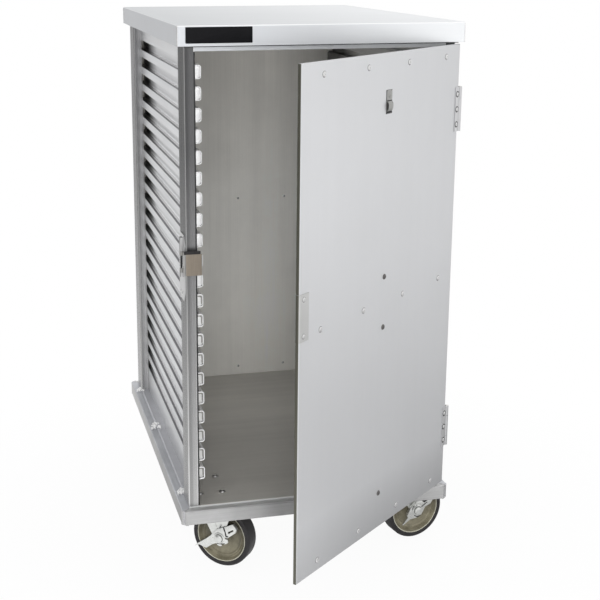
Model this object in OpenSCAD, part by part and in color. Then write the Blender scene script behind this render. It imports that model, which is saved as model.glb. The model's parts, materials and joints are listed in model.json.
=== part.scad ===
// Enclosed bun pan rack: a tall aluminium cabinet on four swivel casters, its one door standing ajar.
// The side walls are pressed into shelves that carry the rims of full-size sheet pans.
// X runs across the front, Y from front to back, Z up from the ground under the wheels.
// The origin is on the ground, in the middle of the box that holds the rack and its open door.

/* [Cabinet] */
// Width over the corner posts
body_w = 508; // [490:1:540]
// Depth over the corner posts
body_d = 711; // [700:1:760]
// Height from the ground to the top of the canopy
overall_h = 1072; // [1062:1:1110]
// Thickness of the wall, back and canopy sheet
sheet_t = 1.6; // [1.2:0.1:2]

/* [Canopy] */
// How far the canopy stands out past the posts all round
canopy_over = 12.7; // [11.5:0.1:14]
// Height of the canopy's turned-down skirt
canopy_skirt = 36.5; // [30:0.5:38]
// Outside radius of the canopy's bends
canopy_bend = 3; // [2.5:0.1:4]
// Depth of the door header below the canopy's skirt
header_drop = 9.5; // [8:0.5:12]
// Width of the header's bottom lip
header_lip = 15; // [12:1:20]

/* [Posts] */
// Depth of a corner post, front to back
post_d = 58; // [50:1:64]
// Wall of a corner post
post_t = 2; // [1.6:0.1:2.4]
// Outside radius of a post's bends
post_bend = 3; // [2.6:0.1:4]
// Width of a corner post, across the rack
post_w = 18.4; // [15:0.1:21]

/* [Pan ledges] */
// Height from one ledge to the next
ledge_pitch = 38.1; // [36:0.1:38.2]
// Height of one ledge
ledge_h = 25.2; // [23:0.1:26]
// How far a ledge stands in from the wall
ledge_in = 12; // [9:0.5:13]
// Outside radius of a ledge's two inner corners
ledge_r = 5; // [3:0.1:6]
// Distance from the canopy's top to the middle of the first ledge
first_ledge = 82; // [78:1:90]
// Least distance from the floor to the middle of the last ledge
last_ledge = 50; // [40:1:60]
// How far the walls' front edges sit behind the posts' faces
wall_set = 1; // [0.5:0.1:2]

/* [Back] */
// Height of the stiffener across the back wall
back_stiff_h = 46; // [40:1:60]
// Depth of the stiffener across the back wall
back_stiff_d = 12; // [8:0.5:12]
// Height of the sill angle along the foot of the back wall
sill_h = 42; // [36:1:60]
// Width of the sill angle's foot on the bumper rail
sill_foot = 10; // [6:1:12]
// Height of the stiffener's middle above the ground
back_stiff_z = 596; // [560:1:620]
// Distance between rivets across the back wall
back_rivet_pitch = 116; // [108:1:118]
// Distance between rivets up the rear posts
post_rivet_pitch = 144; // [130:1:146]

/* [Base] */
// Thickness of the floor pan
floor_t = 2; // [1.6:0.1:2.5]
// Depth of the floor pan's turned-down edges
floor_edge = 26; // [22:1:27]
// Outside radius of the floor pan's bends
floor_bend = 3; // [2.6:0.1:4]
// Width of the bumper rail round the base
rail_w = 16; // [14:0.5:20]
// Height of the bumper rail
rail_h = 29; // [26:0.5:29]
// Wall of the bumper rail
rail_t = 2.5; // [2:0.1:3]
// Radius of the bumper rail's outer edges
rail_r = 3; // [2.6:0.1:5]
// Length of the slanted cut at the bumper rail's corners
rail_cut = 9; // [6:0.5:10]
// How far the rail's top lies below the floor
rail_step = 3; // [2:0.5:5]
// Thickness of the cross channels that carry the casters
channel_t = 3; // [2.5:0.1:4]
// Width of a cross channel, front to back
channel_w = 110; // [106:1:120]
// Depth of a cross channel's flanges
channel_d = 12; // [8:0.5:12.8]

/* [Casters] */
// Height of a caster from the ground to the top of its plate
caster_h = 156; // [155.5:0.5:160]
// Radius of a wheel
wheel_r = 63.5; // [60:0.5:64]
// Width of a wheel's tread
tread_w = 32; // [28:1:34]
// Thickness of the tyre round the hub
tyre_t = 10; // [7:0.5:12]
// Radius of the tyre's rounded shoulders
shoulder_r = 4; // [2:0.5:5]
// Distance from the swivel axis to the wheel's axle
trail = 38; // [34:1:40]
// Distance of the swivel axes from the posts' side faces
caster_in_x = 54; // [52:1:60]
// Distance of the swivel axes from the posts' front and rear faces
caster_in_y = 89; // [84:1:100]
// Width of a caster's plate, across the rack
plate_w = 64; // [62:1:68]
// Length of a caster's plate, front to back
plate_l = 92; // [90:1:96]
// Thickness of a caster's plate
plate_t = 3.5; // [3:0.1:4]
// Bolt spacing across the rack
bolt_gap_x = 44.5; // [42:0.5:46]
// Bolt spacing front to back
bolt_gap_y = 73; // [68:0.5:76]
// Diameter of the caster bolts
bolt_d = 8; // [6:0.5:9]
// Diameter of the swivel's kingpin
kingpin_d = 12; // [10:0.5:14]
// Diameter of the swivel's ball race
race_d = 54; // [48:1:56]
// Thickness of the fork's metal
fork_t = 3; // [2.5:0.1:3.5]
// Width of a fork leg at its top
fork_top_w = 62; // [54:1:64]
// Width of a fork leg round the axle
fork_foot_w = 26; // [22:1:30]
// Diameter of the axle bolt
axle_d = 9.5; // [8:0.5:10]
// Swivel of the front left caster, degrees from straight right
swivel_fl = -40; // [-60:1:-20]
// Swivel of the front right caster, degrees from straight right
swivel_fr = 12; // [0:1:30]
// Swivel of the rear left caster, degrees from straight right
swivel_rl = 55; // [40:1:90]
// Swivel of the rear right caster, degrees from straight right
swivel_rr = 100; // [80:1:120]

/* [Brake lever] */
// Length of the lever's pedal arm
pedal_arm = 46; // [40:1:50]
// Length of the lever's release arm
release_arm = 52; // [40:1:54]
// Width of the lever's arms
lever_w = 14; // [12:0.5:16]
// Thickness of the lever
lever_t = 2.5; // [2:0.1:3]
// Slope of the released lever, in degrees
lever_slope = 38; // [30:1:42]

/* [Door] */
// Angle at which the door stands open, in degrees
door_open = 40; // [20:1:60]
// Gap between the door and the posts' front faces
door_gap = 3.5; // [3:0.1:5]
// Depth of the door pan's turned-in edges
door_t = 6.5; // [6:0.1:8]
// Thickness of the door's sheet
door_sheet = 1.3; // [1:0.1:1.6]
// Radius of the door's edges
door_bend = 2; // [1.7:0.1:3]
// How far the door reaches past the hinge side's post
door_past = 3; // [2.5:0.1:4]
// Gap between the door's top and the canopy's skirt
door_top_gap = 3.5; // [2.5:0.1:5]
// Gap between the door's bottom and the floor
door_bottom_gap = 6; // [5:0.5:12]
// Distance of the outer stiffeners from the door's ends
stiffener_in = 20; // [19:0.5:24]
// Gap between a stiffener's ends and the tips of the ledges, with the door closed
stiffener_gap = 7; // [5:0.5:12]
// Height of a door stiffener
stiffener_h = 30; // [24:1:30]
// Depth of a door stiffener
stiffener_d = 8.8; // [7:0.1:9]
// Distance of the outer rivets from a stiffener's ends
stiffener_rivet_in = 16.5; // [12:0.5:24]
// How far the door's fittings sit from its middle, towards the hinges
fitting_shift = 5; // [0:0.5:8]
// Distance of each middle screw from the middle stiffener's line
screw_rise = 46; // [40:1:60]
// Distance of the lowest screw from the door's bottom
low_screw = 69; // [60:1:80]

/* [Card clip] */
// Width of the clip
clip_w = 22; // [18:1:26]
// Height of the clip
clip_h = 40; // [36:1:46]
// Distance from the door's top to the clip
clip_drop = 61; // [50:1:80]
// How far the clip's tongue stands off the door
clip_out = 4.5; // [3.5:0.1:5]

/* [Edge plate] */
// Height of the wear plate on the door's free edge
edge_plate_h = 79; // [74:1:90]
// Width of the wear plate
edge_plate_w = 25; // [22:1:36]
// Thickness of the wear plate
edge_plate_t = 1.5; // [1:0.1:2]

/* [Hinges] */
// Height of a hinge
hinge_h = 82; // [76:1:90]
// Distance of each hinge from the door's nearer end
hinge_in = 119; // [100:1:150]
// Thickness of a hinge leaf
leaf_t = 1.5; // [1.2:0.1:1.8]
// Width of the leaf riveted to the post
post_leaf_w = 48; // [44:1:52]
// Width of the leaf riveted to the door
door_leaf_w = 12.5; // [12:0.5:20]
// Outside diameter of a knuckle
knuckle_d = 8; // [7.6:0.1:8.4]
// Diameter of a hinge pin
hinge_pin_d = 4.4; // [4:0.1:4.8]
// Height of each post-side knuckle
post_knuckle = 20; // [18:1:24]
// Gap between neighbouring knuckles
knuckle_gap = 0.5; // [0.3:0.1:1]

/* [Latch] */
// Height of the latch's middle above the ground
latch_z = 631.5; // [600:0.5:660]
// Height of the plate riveted to the post
latch_plate_h = 125; // [116:1:130]
// Thickness of the plate riveted to the post
latch_plate_t = 2; // [1.6:0.1:2.4]
// Height of the latch's arm
latch_arm_h = 40; // [38:1:44]
// How far the arm's middle lies above the plate's
latch_arm_rise = 12; // [8:0.5:16]
// Thickness of the latch's arm
latch_arm_t = 1.6; // [1.3:0.1:2]
// Length of the hook in front of the door
hook_w = 31; // [26:1:34]
// Gap between the hook and the closed door
hook_gap = 4.4; // [3.5:0.1:6]
// Distance of the latch's pin behind the post's front face
latch_pin_y = 16; // [15:1:20]
// Height of the knuckle above the latch's arm
latch_upper_ear_h = 26; // [20:1:28]
// Height of the knuckle below the latch's arm
latch_lower_ear_h = 8; // [6:1:12]
// Diameter of the latch's knuckles
latch_knuckle_d = 7; // [6.4:0.1:7.4]
// Diameter of the latch's pin
latch_pin_d = 3.2; // [2.8:0.1:3.4]
// Diameter of the latch spring's wire
spring_wire = 0.9; // [0.7:0.1:1]
// Number of turns in the latch spring
spring_turns = 6; // [4:1:6]

/* [Rivets] */
// Diameter of the pop rivets' heads
rivet_d = 8; // [6:0.5:9]
// Height of the pop rivets' heads
rivet_rise = 1.4; // [1:0.1:1.6]

/* [Hidden] */
$fn = 64;
// Clearance of a turning fit, on the radius
run = 0.07;
// Clearance of a pressed or bolted fit, on the radius
snug = 0.03;
// Gap between a piece and one that moves past it
slide = 0.3;
// Overshoot of cuts past the faces that they open
past = 1;

side_x = body_w / 2;
wall_out = side_x - post_w;
// The gap between the two side walls, from recess to recess
wall_gap = 2 * (wall_out - sheet_t);
canopy_w = body_w + 2 * canopy_over;
canopy_d = body_d + 2 * canopy_over;
under_canopy = overall_h - sheet_t;
floor_z = caster_h + channel_t + floor_t;
body_h = under_canopy - floor_z;
rail_top = floor_z - rail_step;
rail_z = rail_top - rail_h;
ledge_reach = ledge_in + sheet_t;
// As many ledges as fit between the first and the last
ledge_count = 1 + floor((overall_h - first_ledge - last_ledge - floor_z) / ledge_pitch);
header_bottom = overall_h - canopy_skirt - header_drop;

// The door's sizes, and its hinge axis in front of the posts and outside them
door_face = door_gap + door_t;
door_w = body_w + door_past;
door_bottom = floor_z + door_bottom_gap;
door_top = overall_h - canopy_skirt - door_top_gap;
door_h = door_top - door_bottom;
leaf_gap = 1;
pin_x = side_x + door_past + leaf_gap + knuckle_d / 2;
free_edge = pin_x + side_x;
bend_arm = free_edge - door_bend;
corner_drop = bend_arm * sin(door_open) - door_bend * cos(door_open);
door_reach = door_face + corner_drop + door_bend + edge_plate_t;

// Y of the posts' front faces, which centres the rack and its open door on the origin to 0.01 mm
front_y = round(50 * (door_reach - body_d - rail_w)) / 100;
back_y = front_y + body_d;
mid_y = (front_y + back_y) / 2;
pin_y = front_y - door_face;

middle_z = (door_bottom + door_top) / 2;
stiffener_zs = [door_top - stiffener_in, middle_z, door_bottom + stiffener_in];
rivet_cols = [-1.5, -0.5, 0.5, 1.5];
stiffener_l = wall_gap - 2 * (ledge_in + stiffener_gap);
stiffener_pitch = (stiffener_l - 2 * stiffener_rivet_in) / (len(rivet_cols) - 1);
door_mid_x = door_past / 2 + fitting_shift;
clip_z = door_top - clip_drop - clip_h;
screw_zs = [middle_z + screw_rise, middle_z - screw_rise, door_bottom + low_screw];
hinge_zs = [door_top - hinge_in, door_bottom + hinge_in];
hinge_pin_r = hinge_pin_d / 2;
hinge_rivet_gap = hinge_h * 0.34;

// The latch's places
latch_axis_x = side_x + latch_plate_t + latch_knuckle_d / 2;
latch_axis_y = front_y + latch_pin_y;
arm_z = latch_z + latch_arm_rise;
arm_x = side_x + latch_plate_t + slide + latch_arm_t;
hook_y = pin_y - hook_gap;
arm_knuckle_h = 8;
// How far the arm's window reaches in front of its pin
window_reach = 14;
spring_r = latch_pin_d / 2 + 0.55 + spring_wire / 2;
plate_chamfer = 10;

// The casters' heights and places
plate_z = caster_h - plate_t;
race_h = 6.5;
race_z = plate_z - race_h;
fork_top_z = race_z - slide;
fork_in = tread_w / 2 + 2;
fork_out = fork_in + fork_t;
hub_r = wheel_r - tyre_t;
boss_half = fork_in - 0.5;
lever_y = fork_out + slide;
head_h = 6;
caster_x = side_x - caster_in_x;
casters = [
    [-caster_x, front_y + caster_in_y, swivel_fl],
    [caster_x, front_y + caster_in_y, swivel_fr],
    [-caster_x, back_y - caster_in_y, swivel_rl],
    [caster_x, back_y - caster_in_y, swivel_rr]
];

// How far the rack reaches to the left, and to the right where the front wheel swings out
left_reach = side_x + rail_w;
wheel_reach = (wheel_r - shoulder_r) * cos(swivel_fr) + (tread_w / 2 - shoulder_r) * sin(swivel_fr);
right_reach = max(left_reach, caster_x + trail * cos(swivel_fr) + wheel_reach + shoulder_r);

// Moves the cabinet sideways so that the whole rack is centred on the origin
module centred() {
    translate([(left_reach - right_reach) / 2, 0, 0])
        children();
}

// Extrudes a profile drawn in X and Z along Y, from y0 to y1
module along_y(y0, y1) {
    translate([0, y1, 0])
        rotate([90, 0, 0])
            linear_extrude(y1 - y0)
                children();
}

// Extrudes a profile drawn in Y and Z along X, from x0 to x1
module along_x(x0, x1) {
    translate([x0, 0, 0])
        rotate([90, 0, 90])
            linear_extrude(x1 - x0)
                children();
}

// A bar from the origin along X, centred on Y, with its two far corners rounded
module round_bar(len, width, r) {
    translate([0, -width / 2])
        square([len - r, width]);
    translate([0, -width / 2 + r])
        square([len, width - 2 * r]);
    for (side = [-1, 1])
        translate([len - r, side * (width / 2 - r)])
            circle(r);
}

// A block with its face at the top and rounded edges along all four sides of the face
module soft_block(w, d, h, r, drop = 0) {
    intersection() {
        along_y(-d / 2, d / 2)
            translate([0, -drop])
                rotate(90)
                    round_bar(h + drop, w, r);
        along_x(-w / 2, w / 2)
            translate([0, -drop])
                rotate(90)
                    round_bar(h + drop, d, r);
    }
}

// A sheet pan form: a face at the top with its edges bent down all round
module pan(w, d, h, t, r) {
    difference() {
        soft_block(w, d, h, r);
        soft_block(w - 2 * t, d - 2 * t, h - t, r - t, past);
    }
}

// The cap of a ball: a rivet or bolt head of diameter d, standing rise above the XY plane
module dome(d, rise) {
    ball = (d * d / 4 + rise * rise) / (2 * rise);
    intersection() {
        translate([0, 0, rise - ball])
            sphere(ball);
        cylinder(d = d, h = rise);
    }
}

// Heads that face the front, the back, the left and the right
module dome_front(d = rivet_d, rise = rivet_rise) {
    rotate([90, 0, 0])
        dome(d, rise);
}

module dome_back(d = rivet_d, rise = rivet_rise) {
    rotate([-90, 0, 0])
        dome(d, rise);
}

module dome_left(d = rivet_d, rise = rivet_rise) {
    rotate([0, -90, 0])
        dome(d, rise);
}

module dome_right(d = rivet_d, rise = rivet_rise) {
    rotate([0, 90, 0])
        dome(d, rise);
}

// Top of the cabinet, with its skirt
module canopy() {
    color("gainsboro")
        translate([0, mid_y, overall_h - canopy_skirt])
            pan(canopy_w, canopy_d, canopy_skirt, sheet_t, canopy_bend);
}

// Angle across the top of the doorway, hung from the canopy between the walls
module header_rail() {
    header_h = under_canopy - header_bottom;
    half = wall_gap / 2;
    color("silver")
        translate([0, front_y + wall_set, header_bottom])
            along_x(-half, half) {
                square([sheet_t, header_h]);
                square([header_lip, sheet_t]);
            }
}

// One pressed ledge in section, open to the outside
module ledge_section() {
    difference() {
        round_bar(ledge_reach, ledge_h, ledge_r);
        translate([-past, 0])
            round_bar(ledge_reach - sheet_t + past, ledge_h - 2 * sheet_t, ledge_r - sheet_t);
    }
}

// A side wall in section, with its outer face on X = 0 and its ledges standing out along X
module wall_section() {
    first_z = overall_h - first_ledge;
    difference() {
        translate([0, floor_z])
            square([sheet_t, body_h]);
        for (i = [0 : ledge_count - 1])
            translate([-past, first_z - i * ledge_pitch - ledge_h / 2])
                square([sheet_t + 2 * past, ledge_h]);
    }
    for (i = [0 : ledge_count - 1])
        translate([0, first_z - i * ledge_pitch])
            ledge_section();
}

module side_wall() {
    color("lightgray")
        translate([-wall_out, 0, 0])
            along_y(front_y + wall_set, back_y)
                wall_section();
}

module left_wall() {
    side_wall();
}

module right_wall() {
    mirror([1, 0, 0])
        side_wall();
}

// Sheet behind the walls and rear posts, standing on the rear bumper rail
module back_wall() {
    half = side_x - post_bend;
    color("darkgray")
        translate([-half, back_y, rail_top])
            cube([2 * half, sheet_t, under_canopy - rail_top]);
}

// Hat-shaped stiffener across the outside of the back wall
module back_stiffener() {
    half = wall_gap / 2;
    flange = back_stiff_h / 4;
    color("silver")
        translate([0, back_y + sheet_t, back_stiff_z])
            along_x(-half, half)
                difference() {
                    union() {
                        translate([0, -back_stiff_h / 2])
                            square([sheet_t, back_stiff_h]);
                        translate([0, -back_stiff_h / 2 + flange])
                            square([back_stiff_d, back_stiff_h - 2 * flange]);
                    }
                    translate([-past, -back_stiff_h / 2 + flange + sheet_t])
                        square([back_stiff_d - sheet_t + past, back_stiff_h - 2 * flange - 2 * sheet_t]);
                }
}

// Angle along the foot of the back wall, standing on the rear bumper rail
module back_sill() {
    half = side_x - 2 * post_bend;
    color("silver")
        translate([0, back_y + sheet_t, rail_top])
            along_x(-half, half) {
                square([sheet_t, sill_h]);
                square([sill_foot, sheet_t]);
            }
}

// Channel post with its web outwards; both flanges run in to the side wall
module post() {
    color("darkgray")
        translate([-side_x + post_w, front_y + post_d / 2, floor_z])
            linear_extrude(body_h)
                rotate(180)
                    difference() {
                        round_bar(post_w, post_d, post_bend);
                        translate([-past, 0])
                            round_bar(post_w - post_t + past, post_d - 2 * post_t, post_bend - post_t);
                    }
}

// Places a front piece at the rear as its mirror image
module to_rear() {
    translate([0, 2 * mid_y, 0])
        mirror([0, 1, 0])
            children();
}

module post_front_left() {
    post();
}

module post_front_right() {
    mirror([1, 0, 0])
        post();
}

module post_rear_left() {
    to_rear()
        post();
}

module post_rear_right() {
    to_rear()
        mirror([1, 0, 0])
            post();
}

// The four bolt places of each caster
module at_bolts(rows = [0, 1, 2, 3]) {
    for (i = rows)
        for (sx = [-1, 1])
            for (sy = [-1, 1])
                translate([casters[i][0] + sx * bolt_gap_x / 2, casters[i][1] + sy * bolt_gap_y / 2, 0])
                    children();
}

module bolt_hole() {
    cylinder(d = bolt_d + 2 * snug, h = floor_z + past);
}

// Floor with turned-down edges
module floor_pan() {
    color("darkgray")
        difference() {
            translate([0, mid_y, floor_z - floor_edge])
                pan(body_w, body_d, floor_edge, floor_t, floor_bend);
            at_bolts()
                bolt_hole();
        }
}

// Bumper rail in front of the base, open on its inner side; its ends are mitred and close its corners
module base_rail(len) {
    half = len / 2;
    tip = half + rail_w;
    wall = rail_t / sqrt(2);
    color("whitesmoke")
        intersection() {
            union() {
                translate([0, 0, rail_z + rail_h / 2])
                    along_x(-tip, tip)
                        rotate(180)
                            difference() {
                                round_bar(rail_w, rail_h, rail_r);
                                translate([-past, 0])
                                    round_bar(rail_w - rail_t + past, rail_h - 2 * rail_t, rail_r - rail_t);
                            }
                for (side = [-1, 1])
                    translate([0, 0, rail_z])
                        linear_extrude(rail_h)
                            polygon([
                                [side * (tip - rail_cut), -rail_w],
                                [side * (tip - rail_cut - 2 * wall), -rail_w],
                                [side * (tip - rail_cut / 2 - wall), -rail_w + rail_cut / 2 + wall],
                                [side * (tip - rail_cut / 2), -rail_w + rail_cut / 2]
                            ]);
            }
            translate([0, 0, rail_z - past])
                linear_extrude(rail_h + 2 * past)
                    polygon([
                        [-tip + rail_cut, -rail_w],
                        [tip - rail_cut, -rail_w],
                        [tip - rail_cut / 2, -rail_w + rail_cut / 2],
                        [half, 0],
                        [-half, 0],
                        [-tip + rail_cut / 2, -rail_w + rail_cut / 2]
                    ]);
        }
}

module base_rail_front() {
    translate([0, front_y, 0])
        base_rail(body_w);
}

module base_rail_rear() {
    to_rear()
        base_rail_front();
}

module base_rail_left() {
    translate([-side_x, mid_y, 0])
        rotate([0, 0, -90])
            base_rail(body_d);
}

module base_rail_right() {
    mirror([1, 0, 0])
        base_rail_left();
}

// Channel across the base, under the floor and over the casters' plates
module cross_channel(rows) {
    half = side_x - floor_bend;
    mid = casters[rows[0]][1];
    color("silver")
        difference() {
            translate([0, mid, caster_h + channel_t])
                along_x(-half, half)
                    difference() {
                        translate([-channel_w / 2, -channel_d])
                            square([channel_w, channel_d]);
                        translate([-channel_w / 2 + channel_t, -channel_d - past])
                            square([channel_w - 2 * channel_t, channel_d - channel_t + past]);
                    }
            at_bolts(rows)
                bolt_hole();
        }
}

module cross_channel_front() {
    cross_channel([0, 1]);
}

module cross_channel_rear() {
    cross_channel([2, 3]);
}

// Rivets that hold the back wall, the back stiffener, the hinges and the latch's plate
module body_rivets() {
    low_z = rail_top + sill_h / 2 + 3;
    back_face = back_y + sheet_t;
    sill_face = back_face + sheet_t;
    stiff_row_z = back_stiff_z + back_stiff_h * 3 / 8;
    post_row_z = low_z + post_rivet_pitch / 5;
    rise_count = floor((overall_h - canopy_skirt - post_row_z) / post_rivet_pitch);
    post_mid = side_x - post_w / 2;
    color("gainsboro") {
        for (i = [-1 : 1])
            for (z = [stiff_row_z, low_z])
                translate([i * back_rivet_pitch, back_y, z])
                    dome_front(rivet_d * 0.75);
        for (i = [-1 : 1])
            for (z = [stiff_row_z, low_z])
                translate([i * back_rivet_pitch, sill_face, z])
                    dome_back(rivet_d * 0.75);
        for (side = [-1, 1])
            for (i = [0 : rise_count])
                translate([side * post_mid, back_face, post_row_z + i * post_rivet_pitch])
                    dome_back();
        for (z = hinge_zs)
            for (i = [-1 : 1])
                translate([side_x + leaf_t, front_y + post_leaf_w * 2 / 3, z + i * hinge_rivet_gap])
                    dome_right();
        for (y = [30, 48])
            for (i = [-1, 1])
                translate([-side_x - latch_plate_t, front_y + y, latch_z + i * (latch_plate_h / 2 - 12)])
                    dome_left();
    }
}

// Bolts through the floor, the cross channels and the casters' plates, with their nuts
module caster_bolts() {
    nut_h = 6;
    grip = floor_z - plate_z;
    color("dimgray")
        at_bolts() {
            translate([0, 0, floor_z])
                dome(bolt_d * 1.8, 3.5);
            translate([0, 0, plate_z])
                cylinder(d = bolt_d, h = grip + past);
            translate([0, 0, plate_z - nut_h])
                cylinder(d = bolt_d * 1.7, h = nut_h, $fn = 6);
        }
}

// The leaf on the post: flat on the post, then stepped out to the hinge axis
module post_leaf(z) {
    joggle = pin_x - knuckle_d / 2;
    heel = front_y + post_leaf_w / 6;
    toe = heel - (joggle - side_x) - leaf_t;
    color("silver")
        translate([0, 0, z - hinge_h / 2])
            difference() {
                union() {
                    linear_extrude(hinge_h)
                        polygon([
                            [side_x, front_y + post_leaf_w],
                            [side_x + leaf_t, front_y + post_leaf_w],
                            [side_x + leaf_t, heel],
                            [joggle + leaf_t, toe],
                            [joggle + leaf_t, pin_y + leaf_t],
                            [joggle, pin_y + leaf_t],
                            [joggle, toe - leaf_t / 2],
                            [side_x, heel - leaf_t / 2]
                        ]);
                    for (dz = [0, hinge_h - post_knuckle])
                        translate([pin_x, pin_y, dz])
                            cylinder(d = knuckle_d, h = post_knuckle);
                }
                translate([pin_x, pin_y, -past])
                    cylinder(r = hinge_pin_r + snug, h = hinge_h + 2 * past);
                translate([pin_x, pin_y, post_knuckle])
                    cylinder(r = knuckle_d / 2 + slide, h = hinge_h - 2 * post_knuckle);
            }
}

module post_leaf_upper() {
    post_leaf(hinge_zs[0]);
}

module post_leaf_lower() {
    post_leaf(hinge_zs[1]);
}

// Both hinge pins, each with a head on the top knuckle
module hinge_pins() {
    color("gray")
        for (z = hinge_zs)
            translate([pin_x, pin_y, z - hinge_h / 2]) {
                cylinder(r = hinge_pin_r, h = hinge_h);
                translate([0, 0, hinge_h])
                    dome(knuckle_d - 1, 1.4);
            }
}

// Plate on the post's side, with two knuckles for the latch's pin and a slot behind the arm
module latch_bracket() {
    half = latch_plate_h / 2;
    back = post_d - 1;
    front = 1;
    slot_z = latch_z - half + 22;
    ears = [
        [arm_z - latch_arm_h / 2 - latch_lower_ear_h - slide, latch_lower_ear_h],
        [arm_z + latch_arm_h / 2 + slide, latch_upper_ear_h]
    ];
    color("silver")
        difference() {
            union() {
                translate([-side_x - latch_plate_t, front_y, latch_z])
                    along_x(0, latch_plate_t)
                        polygon([
                            [front, -half + 2 * plate_chamfer],
                            [front + plate_chamfer, -half],
                            [back - plate_chamfer, -half],
                            [back, -half + plate_chamfer],
                            [back, half - plate_chamfer],
                            [back - plate_chamfer, half],
                            [front + plate_chamfer, half],
                            [front, half - 2 * plate_chamfer]
                        ]);
                for (ear = ears)
                    translate([-latch_axis_x, latch_axis_y, ear[0]]) {
                        cylinder(d = latch_knuckle_d, h = ear[1]);
                        translate([0, -latch_knuckle_d / 2, 0])
                            cube([latch_knuckle_d / 2 + latch_plate_t / 2, latch_knuckle_d, ear[1]]);
                    }
            }
            for (ear = ears)
                translate([-latch_axis_x, latch_axis_y, ear[0] - past])
                    cylinder(d = latch_pin_d + 2 * snug, h = ear[1] + 2 * past);
            translate([-side_x - latch_plate_t - past, front_y + back - 4, slot_z])
                cube([latch_plate_t + 2 * past, 1.5, 30]);
        }
}

module latch_pin() {
    z0 = arm_z - latch_arm_h / 2 - latch_lower_ear_h - slide;
    len = latch_arm_h + latch_lower_ear_h + latch_upper_ear_h + 2 * slide;
    color("gray")
        translate([-latch_axis_x, latch_axis_y, z0]) {
            cylinder(d = latch_pin_d, h = len);
            translate([0, 0, len])
                dome(latch_knuckle_d - 1, 1.2);
        }
}

// Arm from the pin to the front of the post, bent there into a hook across the closed door's edge
module latch_arm() {
    half = latch_arm_h / 2;
    window = latch_arm_h - 2 * arm_knuckle_h;
    corner_r = 2.5;
    color("tan")
        difference() {
            union() {
                translate([0, 0, arm_z - half])
                    linear_extrude(latch_arm_h) {
                        translate([-arm_x, hook_y + corner_r])
                            square([latch_arm_t, latch_axis_y - hook_y - corner_r]);
                        translate([-arm_x + corner_r, hook_y])
                            square([hook_w - corner_r, latch_arm_t]);
                        intersection() {
                            translate([-arm_x + corner_r, hook_y + corner_r])
                                difference() {
                                    circle(corner_r);
                                    circle(corner_r - latch_arm_t);
                                }
                            translate([-arm_x, hook_y])
                                square(corner_r);
                        }
                    }
                for (dz = [-half, half - arm_knuckle_h])
                    translate([-latch_axis_x, latch_axis_y, arm_z + dz])
                        cylinder(d = latch_knuckle_d - 2 * slide, h = arm_knuckle_h);
            }
            translate([-latch_axis_x, latch_axis_y, arm_z - half - past])
                cylinder(d = latch_pin_d + 2 * run, h = latch_arm_h + 2 * past);
            translate([-arm_x - past, latch_axis_y - window_reach, arm_z - window / 2])
                cube([latch_knuckle_d + 2 * past, window_reach + latch_knuckle_d, window]);
        }
}

// A tube of radius r along a list of points, with sides faces round it and a frame of unit vectors
function unit(v) = v / norm(v);
function tangent(path, i) =
    unit(path[min(i + 1, len(path) - 1)] - path[max(i - 1, 0)]);
function ring(path, i, r, sides) =
    let (t = tangent(path, i), a = unit(cross(t, [0.02, 0.03, 1])), b = cross(t, a))
    [for (k = [0 : sides - 1]) path[i] + r * (cos(360 * k / sides) * a + sin(360 * k / sides) * b)];

module tube(path, r, sides) {
    n = len(path);
    points = [for (i = [0 : n - 1]) each ring(path, i, r, sides)];
    walls = [
        for (i = [0 : n - 2]) for (k = [0 : sides - 1])
        each [
            [i * sides + k, i * sides + (k + 1) % sides, (i + 1) * sides + (k + 1) % sides],
            [i * sides + k, (i + 1) * sides + (k + 1) % sides, (i + 1) * sides + k]
        ]
    ];
    cap_a = [for (k = [1 : sides - 2]) [0, k + 1, k]];
    last = (n - 1) * sides;
    cap_b = [for (k = [1 : sides - 2]) [last, last + k, last + k + 1]];
    polyhedron(points, concat(walls, cap_a, cap_b));
}

// Torsion spring round the latch's pin: one leg lies back along the plate, the other in the arm's window
module latch_spring() {
    steps = 8;
    coil_h = latch_arm_h - 2 * arm_knuckle_h - 6;
    coil = [
        for (i = [0 : spring_turns * steps])
        let (a = i * 360 / steps)
        [
            spring_r * cos(a),
            spring_r * sin(a),
            -coil_h / 2 + coil_h * i / (spring_turns * steps)
        ]
    ];
    leg = window_reach - slide;
    arm_leg = [[spring_r, -leg, -coil_h / 2 - 0.3], [spring_r, -3, -coil_h / 2 - 0.1]];
    plate_leg = [[spring_r, 3, coil_h / 2 + 0.1], [spring_r, leg, coil_h / 2 + 0.3]];
    color("gray")
        translate([-latch_axis_x, latch_axis_y, arm_z])
            tube(concat(arm_leg, coil, plate_leg), spring_wire / 2, 6);
}

// Puts a piece of a caster at its swivel axis, turned as that caster stands
module at_caster(i) {
    translate([casters[i][0], casters[i][1], 0])
        rotate([0, 0, casters[i][2]])
            children();
}

// Plate bolted under the cross channel, with the fixed half of the ball race
module caster_plate(i) {
    pin_r = kingpin_d / 2 + snug;
    color("lightgray")
        difference() {
            translate([casters[i][0], casters[i][1], 0])
                difference() {
                    union() {
                        translate([-plate_w / 2, -plate_l / 2, plate_z])
                            cube([plate_w, plate_l, plate_t]);
                        translate([0, 0, race_z])
                            cylinder(d1 = race_d - 4, d2 = race_d, h = race_h);
                    }
                    translate([0, 0, race_z - past])
                        cylinder(r = pin_r, h = race_h + plate_t + 2 * past);
                }
            at_bolts([i])
                bolt_hole();
        }
}

// Four riveted kingpins, each with a head under its fork
module kingpins() {
    head = 4;
    z0 = fork_top_z - fork_t - slide - head;
    color("gray")
        for (i = [0 : 3])
            translate([casters[i][0], casters[i][1], z0]) {
                cylinder(d = kingpin_d, h = caster_h - z0);
                cylinder(d = kingpin_d + 6, h = head);
            }
}

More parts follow.
